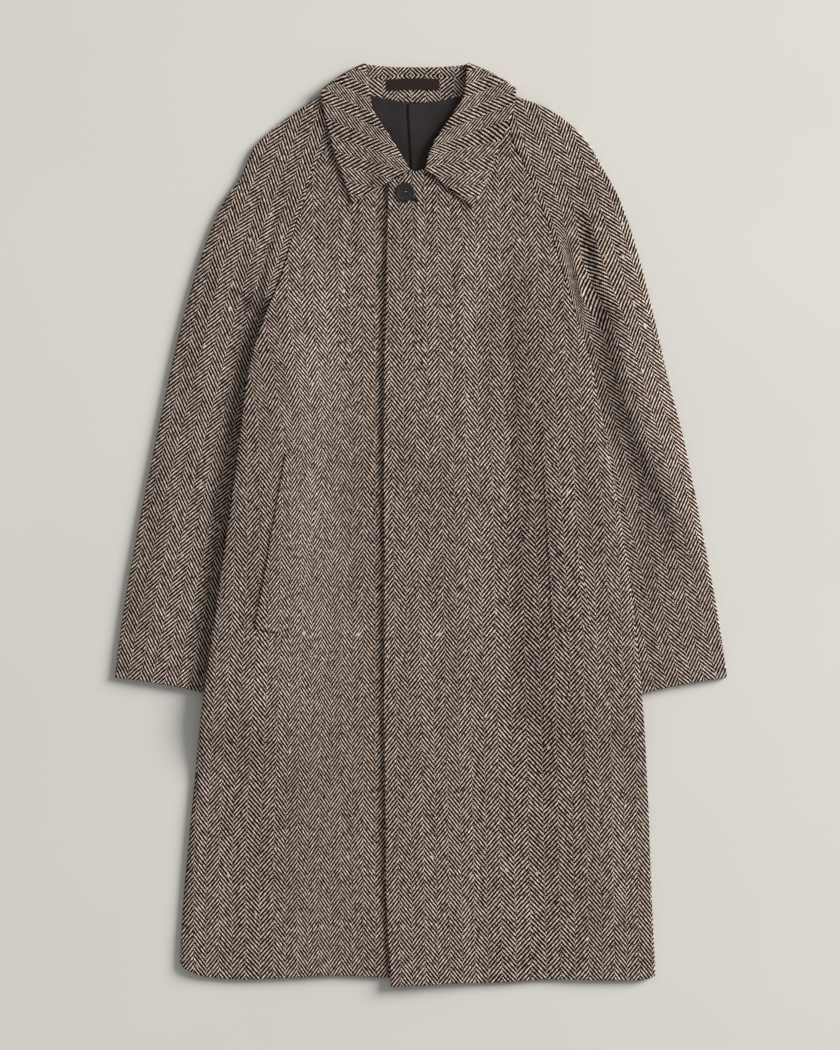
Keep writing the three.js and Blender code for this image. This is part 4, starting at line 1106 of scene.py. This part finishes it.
def pleat_plan():
    """The lining's grid, with more columns at the pleat, narrower at the neck and leaning with the pleat"""
    plan, rim = strip_plan(LINING_LEFT, LINING_RIGHT, lambda x: LINING_LOW_Y + 0 * x,
                           lambda x: neck_seam_y(x) - SEAM, columns=80, rows=56)
    near = np.clip((plan[..., 0] - PLEAT_X) / PLEAT_REACH, -1, 1)
    plan[..., 0] += PLEAT_REACH * (np.sign(near) * abs(near) ** 2 - near)
    up = (plan[..., 1] - LINING_LOW_Y) / (plan[-1:, :, 1] - LINING_LOW_Y)
    from_pleat = (plan[..., 0] - PLEAT_X) * lerp(1, LINING_TOP_SHARE, up)
    lean = lerp(PLEAT_LEAN, -PLEAT_LEAN, ramp(*PLEAT_LEAN_Y, plan[..., 1]))
    plan[..., 0] = PLEAT_X + from_pleat + lean * np.exp(-(from_pleat / PLEAT_LEAN_FADE) ** 2)
    return plan, rim, from_pleat


def build_lining():
    plan, rim, from_pleat = pleat_plan()
    x, y = plan[..., 0], plan[..., 1]
    fold = PLEAT_RISE * ramp(*PLEAT_STEP, from_pleat) * np.exp(-(np.maximum(from_pleat, 0) / PLEAT_FADE) ** 2)
    groove = PLEAT_GROOVE * np.exp(-((from_pleat - PLEAT_GROOVE_X) / PLEAT_GROOVE_HALF) ** 2)
    slack = SLACK * np.exp(-((x - SLACK_X - SLACK_SLOPE * (y - SLACK_Y)) / SLACK_HALF) ** 2)
    slack = slack * ramp(*SLACK_LOW_Y, y) * ramp(*SLACK_HIGH_Y, y)
    soft = LINING_WAVE * np.sin(0.09 * x + 0.05 * y) * np.sin(0.035 * y - 0.04 * x)
    low = back_low(x, y) + CLOTH + LINING_AIR + fold - groove + slack + np.maximum(soft, LINING_WAVE_LOWEST)
    return flat_sheet("lining", plan, low, LINING_CLOTH + 0 * x, rim, np.stack([x, y], -1), lining_satin)


LABEL_LEFT, LABEL_RIGHT, LABEL_LOW_Y, LABEL_HIGH_Y, LABEL_EDGE_SHARPNESS = -41.4, 22.3, 1075.4, 1089.0, 4


def build_label():
    plan, rim = strip_plan(LABEL_LEFT, LABEL_RIGHT, lambda x: LABEL_LOW_Y - arch(x),
                           lambda x: LABEL_HIGH_Y - arch(x), columns=40, rows=10)
    x, y = plan[..., 0], plan[..., 1]
    low = stand_low(x, y) + STAND_CLOTH + SEAM
    rim = rim * LABEL_EDGE_SHARPNESS
    return flat_sheet("neck_label", plan, low, LABEL_CLOTH + 0 * x, rim, np.stack([x, y], -1), label_weave)


collar_stand, lining, neck_label = build_stand(), build_lining(), build_label()

# %% [markdown]
# ## Pocket welts
# Each hand pocket has a slanted welt cut so that its chevrons run on from the front's. It therefore uses
# the front's own weave map, and only its edges and its shadow tell it from the cloth around it.

# %% Welts
WELT = {
    "right": ([(-162, 640), (-180, 537), (-199, 431)], [(-120, 629), (-132, 534), (-148, 432)]),
    "left": ([(174, 628), (186, 538), (204, 436)], [(146, 624), (151, 538), (156.5, 431)]),
}
WELT_LAST, WELT_BOW, WELT_BOW_ROWS, WELT_GAP = 2, 6, (1.6, 2.0), 0.35
# The inner edge is pressed into the front, so the welt thins towards it
WELT_THIN, WELT_FULL, WELT_FADE = 0.2, 0.6, 30
# How far each welt's chevrons miss those of its front, across and along
WELT_SLIP = {"right": (2.2, 1.6), "left": (1.2, 1.6)}


def build_welt(side, columns, spacing):
    outer, inner = (smooth_line(points) for points in WELT[side])
    rows, distance = even_rows(outer, WELT_LAST, spacing)
    plan, to_side, t = panel_plan(outer, inner, rows, columns)
    plan[..., 1] -= WELT_BOW * np.sin(np.pi * t) * ramp(*WELT_BOW_ROWS, rows)[:, None]
    x, y = plan[..., 0], plan[..., 1]
    lap = np.where(x < 0, lap_lift(x) + fly_extra(x), 0)
    from_inner = np.linalg.norm(plan - inner(rows)[:, None, :], axis=-1)
    low = left_top(x, y) - lap + WELT_GAP
    grain = front_grain(side, plan) + np.array(WELT_SLIP[side])
    thickness = WELT_CLOTH * lerp(WELT_THIN, WELT_FULL, ramp(0, WELT_FADE, from_inner))
    return flat_sheet("pocket_welt_" + side, plan, low, thickness, to_rim(to_side, distance), grain, tweed)


welt_right, welt_left = (build_welt(side, columns=14, spacing=4.0) for side in ("right", "left"))

# %% [markdown]
# ## The neck button
# A dished four-hole button of dark horn. The disc is a turned profile, so it is made by sweeping a short
# outline round an axis, and the four holes are cut by a Boolean. Both flat faces stay flat, so the cut
# leaves them clean.

# %% Button
BUTTON_X, BUTTON_Y, BUTTON_GAP = -18.8, 952.2, 0.2
# Radius and height round the rim, from the flat underside to the dished face
BUTTON_PROFILE = [(10.0, 0), (11.0, 0.3), (11.5, 0.9), (11.4, 1.8), (10.9, 2.3), (10.2, 2.5), (9.4, 2.4),
                  (8.7, 2.15), (7.8, 2.05)]
HOLE_X, HOLES_Y, HOLE_RADIUS = 1.8, (1.5, -1.8), 1.1
DRILL_LOW, DRILL_HIGH = -1, 5
DISC_SEGMENTS, DRILL_SEGMENTS, SHARP_ANGLE = 72, 20, math.radians(38)


def turned(name, outline, segments):
    """A closed solid of revolution, with flat ends"""
    made = bmesh.new()
    rings = []
    for radius, z in outline:
        angles = [TURN * k / segments for k in range(segments)]
        corners = [(radius * math.cos(a) * MM, radius * math.sin(a) * MM, z * MM) for a in angles]
        rings.append([made.verts.new(corner) for corner in corners])
    for low, high in zip(rings, rings[1:]):
        for k in range(segments):
            made.faces.new((low[k], low[k - 1], high[k - 1], high[k]))
    made.faces.new(rings[0])
    made.faces.new(list(reversed(rings[-1])))
    bmesh.ops.recalc_face_normals(made, faces=made.faces)
    mesh = bpy.data.meshes.new(name)
    made.to_mesh(mesh)
    made.free()
    piece = bpy.data.objects.new(name, mesh)
    bpy.context.scene.collection.objects.link(piece)
    return piece


def baked(piece, name):
    """The piece as its modifiers make it, as one plain mesh"""
    graph = bpy.context.evaluated_depsgraph_get()
    mesh = bpy.data.meshes.new_from_object(piece.evaluated_get(graph))
    bpy.data.objects.remove(piece)
    mesh.name = name
    made = bpy.data.objects.new(name, mesh)
    bpy.context.scene.collection.objects.link(made)
    return made


button_low = float(left_top(np.array(BUTTON_X), np.array(BUTTON_Y))) + BUTTON_GAP
button_disc = turned("button_disc", BUTTON_PROFILE, DISC_SEGMENTS)
drills = turned("button_drills", [(HOLE_RADIUS, DRILL_LOW), (HOLE_RADIUS, DRILL_HIGH)], DRILL_SEGMENTS)
drill_mesh = bmesh.new()
for hole_x, hole_y in [(x, y) for x in (HOLE_X, -HOLE_X) for y in HOLES_Y]:
    part = drills.data.copy()
    part.transform(Matrix.Translation((hole_x * MM, hole_y * MM, 0)))
    drill_mesh.from_mesh(part)
drill_mesh.to_mesh(drills.data)
drill_mesh.free()
cut = button_disc.modifiers.new("holes", "BOOLEAN")
cut.operation, cut.object, cut.solver = "DIFFERENCE", drills, "EXACT"
neck_button = baked(button_disc, SEWN + "neck_button")
bpy.data.objects.remove(drills)
button_place = (BUTTON_X * MM, (BUTTON_Y - COAT_LENGTH / 2) * MM, button_low * MM)
neck_button.data.transform(Matrix.Translation(button_place))
neck_button.data.materials.clear()
neck_button.data.materials.append(dark_horn)
neck_button.data.shade_smooth()
neck_button.data.set_sharp_from_angle(angle=SHARP_ANGLE)
print("button:", len(neck_button.data.polygons), "faces at", round(button_low, 2), "mm")

# %% [markdown]
# ## Stitches along a path
# Sewing is one stitch repeated along a line, which Geometry Nodes does well. The tree takes a path, lays a
# small bent thread at even distances along it and turns each one to the path. One tree makes the label's
# hand stitches, the purled edge of the buttonhole and the strands that hold the button. Each path is read
# off the cloth's own height, so the threads lie on it.

# %% Stitch tree
STITCH_INPUTS = {
    "Path": "NodeSocketGeometry", "Spacing": "NodeSocketFloat", "Length": "NodeSocketFloat",
    "Thickness": "NodeSocketFloat", "Rise": "NodeSocketFloat", "Turn": "NodeSocketFloat",
    "Unevenness": "NodeSocketFloat", "Seed": "NodeSocketInt", "Thread": "NodeSocketMaterial",
}


THREAD_SIDES, THREAD_STEPS, SUNK_SHARE = 8, 8, -0.8


def stitch_tree():
    g = Nodes(bpy.data.node_groups.new("stitches_along_a_path", "GeometryNodeTree"))
    for name, kind in STITCH_INPUTS.items():
        g.tree.interface.new_socket(name, in_out="INPUT", socket_type=kind)
    g.tree.interface.new_socket("Stitches", in_out="OUTPUT", socket_type="NodeSocketGeometry")
    given = g.tree.nodes.new("NodeGroupInput")
    wish = {name: Value(g, given.outputs[name]) for name in STITCH_INPUTS}
    path = g.node("GeometryNodeMeshToCurve", None, {"Mesh": wish["Path"]})
    even = {"Curve": path, "Length": wish["Spacing"]}
    spots = g.node("GeometryNodeResampleCurve", {"mode": "LENGTH"}, even)
    heading = {"Vector": g.node("GeometryNodeInputTangent")}
    facing = g.node("FunctionNodeAlignRotationToVector", {"axis": "X", "pivot_axis": "Z"}, heading)
    spread = {2: wish["Unevenness"] * -1, 3: wish["Unevenness"], "Seed": wish["Seed"]}
    wobble = g.node("FunctionNodeRandomValue", {"data_type": "FLOAT"}, spread, 1)
    angle = {"Axis": (0, 0, 1), "Angle": wish["Turn"] + wobble}
    turn = g.node("FunctionNodeAxisAngleToRotation", None, angle)
    rotation = g.node("FunctionNodeRotateRotation", {"rotation_space": "LOCAL"}, {0: facing, 1: turn})
    reach, sunk = wish["Length"] * 0.5, wish["Thickness"] * SUNK_SHARE
    ends = {"Start": g.combine(reach * -1, 0, sunk), "Middle": g.combine(0, 0, wish["Rise"] * 2 - sunk),
            "End": g.combine(reach, 0, sunk), "Resolution": THREAD_STEPS}
    bent = g.node("GeometryNodeCurveQuadraticBezier", None, ends)
    circle = {"Resolution": THREAD_SIDES, "Radius": wish["Thickness"] * 0.5}
    ring = g.node("GeometryNodeCurvePrimitiveCircle", None, circle)
    one = g.node("GeometryNodeCurveToMesh", None, {"Curve": bent, "Profile Curve": ring, "Fill Caps": True})
    smooth = g.node("GeometryNodeSetShadeSmooth", None, {"Geometry": one})
    laid = {"Points": spots, "Instance": smooth, "Rotation": rotation}
    copies = g.node("GeometryNodeInstanceOnPoints", None, laid)
    real = g.node("GeometryNodeRealizeInstances", None, {0: copies})
    done = g.node("GeometryNodeSetMaterial", None, {"Geometry": real, "Material": wish["Thread"]})
    g.tree.links.new(done.socket, g.tree.nodes.new("NodeGroupOutput").inputs["Stitches"])
    return g.tree


stitches = stitch_tree()
print("stitch tree:", len(stitches.nodes), "nodes")


# %% Sewing
LENGTHS = ("Spacing", "Length", "Thickness", "Rise")


def sew(name, path, **wishes):
    """Stitches along points in mm, baked to a plain mesh. Lengths in the wishes are in mm too"""
    points = np.array(path, float)
    points[:, 1] -= COAT_LENGTH / 2
    mesh = bpy.data.meshes.new(name)
    mesh.from_pydata((points * MM).tolist(), [(k, k + 1) for k in range(len(points) - 1)], [])
    piece = bpy.data.objects.new(name, mesh)
    bpy.context.scene.collection.objects.link(piece)
    modifier = piece.modifiers.new("stitches", "NODES")
    modifier.node_group = stitches
    for item in stitches.interface.items_tree:
        if item.in_out == "INPUT" and item.name in wishes:
            wish = wishes[item.name]
            modifier[item.identifier] = wish * MM if item.name in LENGTHS else wish
    made = baked(piece, name)
    print(f"{name}: {len(made.data.polygons)} faces")
    return made


def on_cloth(x, y, height, lift):
    x, y = np.array(x, float), np.array(y, float)
    return np.stack([x, y, height(x, y) + lift], -1)


# %% Label stitches
STITCH_INSET_X, STITCH_INSET_Y, LONG_SIDE_POINTS, SHORT_SIDE_POINTS = 1.3, 1.2, 40, 8


def label_top(x, y):
    return stand_low(x, y) + STAND_CLOTH + SEAM + LABEL_CLOTH


left_x, right_x = LABEL_LEFT + STITCH_INSET_X, LABEL_RIGHT - STITCH_INSET_X
low_y, high_y = LABEL_LOW_Y + STITCH_INSET_Y, LABEL_HIGH_Y - STITCH_INSET_Y
corners = [(left_x, low_y), (right_x, low_y), (right_x, high_y), (left_x, high_y), (left_x, low_y)]
side_points = [LONG_SIDE_POINTS, SHORT_SIDE_POINTS, LONG_SIDE_POINTS, SHORT_SIDE_POINTS]
tour = np.concatenate([np.linspace(*ends, count) for *ends, count in zip(corners, corners[1:], side_points)])
tour_x, tour_y = tour[:, 0], tour[:, 1] - arch(tour[:, 0])
label_stitches = sew("label_stitches", on_cloth(tour_x, tour_y, label_top, 0.0), Spacing=2.6, Length=1.7,
                     Thickness=0.34, Rise=0.1, Turn=0.0, Unevenness=0.06, Seed=3, Thread=label_thread)

# %% Buttonhole and button thread
QUARTER = math.pi / 2
SLIT_FROM, SLIT_TO = np.array([-16.5, 950.4]), np.array([-5.6, 941.2])
LIP_OUT, NOSE_OUT, LIP_POINTS, NOSE_POINTS = 1.2, 1.5, 24, 9
slit_way = (SLIT_TO - SLIT_FROM) / np.linalg.norm(SLIT_TO - SLIT_FROM)
slit_side = np.array([-slit_way[1], slit_way[0]])
share = np.linspace(0, 1, LIP_POINTS)[:, None]
out_lip = SLIT_FROM + (SLIT_TO - SLIT_FROM) * share + slit_side * LIP_OUT
back_lip = SLIT_FROM + (SLIT_TO - SLIT_FROM) * share[::-1] - slit_side * LIP_OUT
nose_turn = np.linspace(QUARTER, -QUARTER, NOSE_POINTS)[1:-1, None]
nose = SLIT_TO + slit_side * LIP_OUT * np.sin(nose_turn) + slit_way * NOSE_OUT * np.cos(nose_turn)
lip = np.concatenate([out_lip, nose, back_lip])
buttonhole = sew("buttonhole_stitches", on_cloth(lip[:, 0], lip[:, 1], left_top, 0.05), Spacing=0.54,
                 Length=3.0, Thickness=0.52, Rise=0.3, Turn=QUARTER, Unevenness=0.16, Seed=5,
                 Thread=buttonhole_thread)
STRAND_LIFT, SPACING_SHARE = 0.1, 0.95
strand_z = button_low + BUTTON_PROFILE[-1][1] + STRAND_LIFT


def strands(name, above_middle, apart, thread_finish):
    """Two threads side by side across the middle of the button. The path is just longer than one spacing"""
    path = [(BUTTON_X, BUTTON_Y + above_middle + side * apart / 2, strand_z) for side in (-1, 1)]
    return sew(name, path, Spacing=apart * SPACING_SHARE, Length=4.4, Thickness=0.5, Rise=0.36, Turn=QUARTER,
               Unevenness=0.05, Seed=8, Thread=thread_finish)


threads = [strands("button_thread_upper", HOLES_Y[0] - 1.1, 0.42, button_thread),
           strands("button_thread_lower", HOLES_Y[1] - 0.8, 0.3, label_thread)]

# %% [markdown]
# ## Stage, light and camera
# The coat lies on pale paper under one broad soft light from the upper right and an even fill. The camera
# looks straight down with a long lens, as for a catalogue, so that nothing leans.

# %% Stage, light and camera
FRAME_HEIGHT, PIXEL = 1050, 1.2
CAMERA_X, CAMERA_Y, CAMERA_HEIGHT, SENSOR = -1.2, -0.3, 5.0, 24.0
TABLE_HALF, TABLE_Z = 4, -0.0003
LAMP_PLACE, LAMP_SIZE, LAMP_POWER, LAMP_COLOUR = (9.2, 4.8, 5.3), 6.0, 1830, (1.0, 0.985, 0.965)
FILL_COLOUR, FILL_STRENGTH = (1.0, 0.99, 0.975, 1), 0.33


def paper(name):
    f = Finish(name)
    place = f.node("ShaderNodeTexCoord", None, None, "Object")
    mottle = f.noise(place, 2.4, 3.0)
    tooth = f.noise(place, 900.0, 2.0)
    tone = f.mix(mottle.smooth(0.3, 0.7), paint(223, 221, 216), paint(226, 224, 218))
    return f.surface(Base_Color=tone, Roughness=0.9 + tooth * 0.1, Normal=f.bump(tooth, 0.0001, 0.2),
                     Specular_IOR_Level=0.1)


floor_corners = [(x * TABLE_HALF, y * TABLE_HALF, TABLE_Z) for x, y in ((-1, -1), (1, -1), (1, 1), (-1, 1))]
floor_mesh = bpy.data.meshes.new("table_top")
floor_mesh.from_pydata(floor_corners, [], [(0, 1, 2, 3)])
floor_mesh.materials.append(paper("pale_paper"))
floor = bpy.data.objects.new("table_top", floor_mesh)
bpy.context.scene.collection.objects.link(floor)


def soft_light(name, place, size, power, colour):
    lamp = bpy.data.lights.new(name, "AREA")
    lamp.shape, lamp.size, lamp.energy, lamp.color = "DISK", size, power, colour
    made = bpy.data.objects.new(name, lamp)
    made.location = place
    direction = np.array(place) / np.linalg.norm(place)
    made.rotation_euler = (math.acos(direction[2]), 0, math.atan2(direction[1], direction[0]) + math.pi / 2)
    bpy.context.scene.collection.objects.link(made)


soft_light("key_light", LAMP_PLACE, LAMP_SIZE, LAMP_POWER, LAMP_COLOUR)
world = bpy.data.worlds.new("studio")
world.use_nodes = True
fill = world.node_tree.nodes["Background"].inputs
fill["Color"].default_value, fill["Strength"].default_value = FILL_COLOUR, FILL_STRENGTH
bpy.context.scene.world = world
bpy.context.scene.view_settings.view_transform = "Standard"

lens = bpy.data.cameras.new("camera")
lens.sensor_fit, lens.sensor_height = "VERTICAL", SENSOR
lens.lens = SENSOR * CAMERA_HEIGHT / (FRAME_HEIGHT * PIXEL * MM)
camera = bpy.data.objects.new("camera", lens)
camera.location = (CAMERA_X * MM, CAMERA_Y * MM, CAMERA_HEIGHT)
bpy.context.scene.collection.objects.link(camera)
bpy.context.scene.camera = camera
print("lens:", round(lens.lens, 1), "mm")

# %% [markdown]
# ## Hand each piece to the frame
# Every piece says which body it rides on, which solid it stands for and which finish it takes. A sheet of
# cloth also has its cut listed.

# %% Riding, replacing and the cut of each sheet
# Width and length of the cut in metres, its flat area, and what the sheet lies on
CUTS = {
    back: (0.57, 1.07, 0.463, ["table_top", "sleeve_right_front", "sleeve_left_front"]),
    front_right: (0.325, 1.05, 0.261, ["back"]),
    front_left: (0.33, 1.06, 0.300, ["front_right", "back"]),
    sleeves["right", "back"]: (0.16, 0.80, 0.083, ["table_top"]),
    sleeves["right", "front"]: (0.16, 0.80, 0.083, ["sleeve_right_back"]),
    sleeves["left", "back"]: (0.16, 0.80, 0.082, ["table_top"]),
    sleeves["left", "front"]: (0.16, 0.80, 0.082, ["sleeve_left_back"]),
    collar_fall: (0.54, 0.07, 0.033, ["front_right", "front_left", "table_top"]),
    collar_stand: (0.135, 0.043, 0.0050, ["collar_fall"]),
    lining: (0.15, 0.145, 0.019, ["back"]),
    neck_label: (0.0637, 0.0136, None, ["collar_stand"]),
    welt_right: (0.052, 0.212, 0.0099, ["front_right"]),
    welt_left: (0.045, 0.2, 0.0073, ["front_left"]),
}
SEWING = {label_stitches: "label_weave", buttonhole: "herringbone_wool", threads[0]: "dark_horn",
          threads[1]: "dark_horn"}

for piece in [*CUTS, neck_button]:
    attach(piece, "root")
    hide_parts(piece.name.removeprefix(SEWN))
for piece, slot in SEWING.items():
    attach(piece, "root")
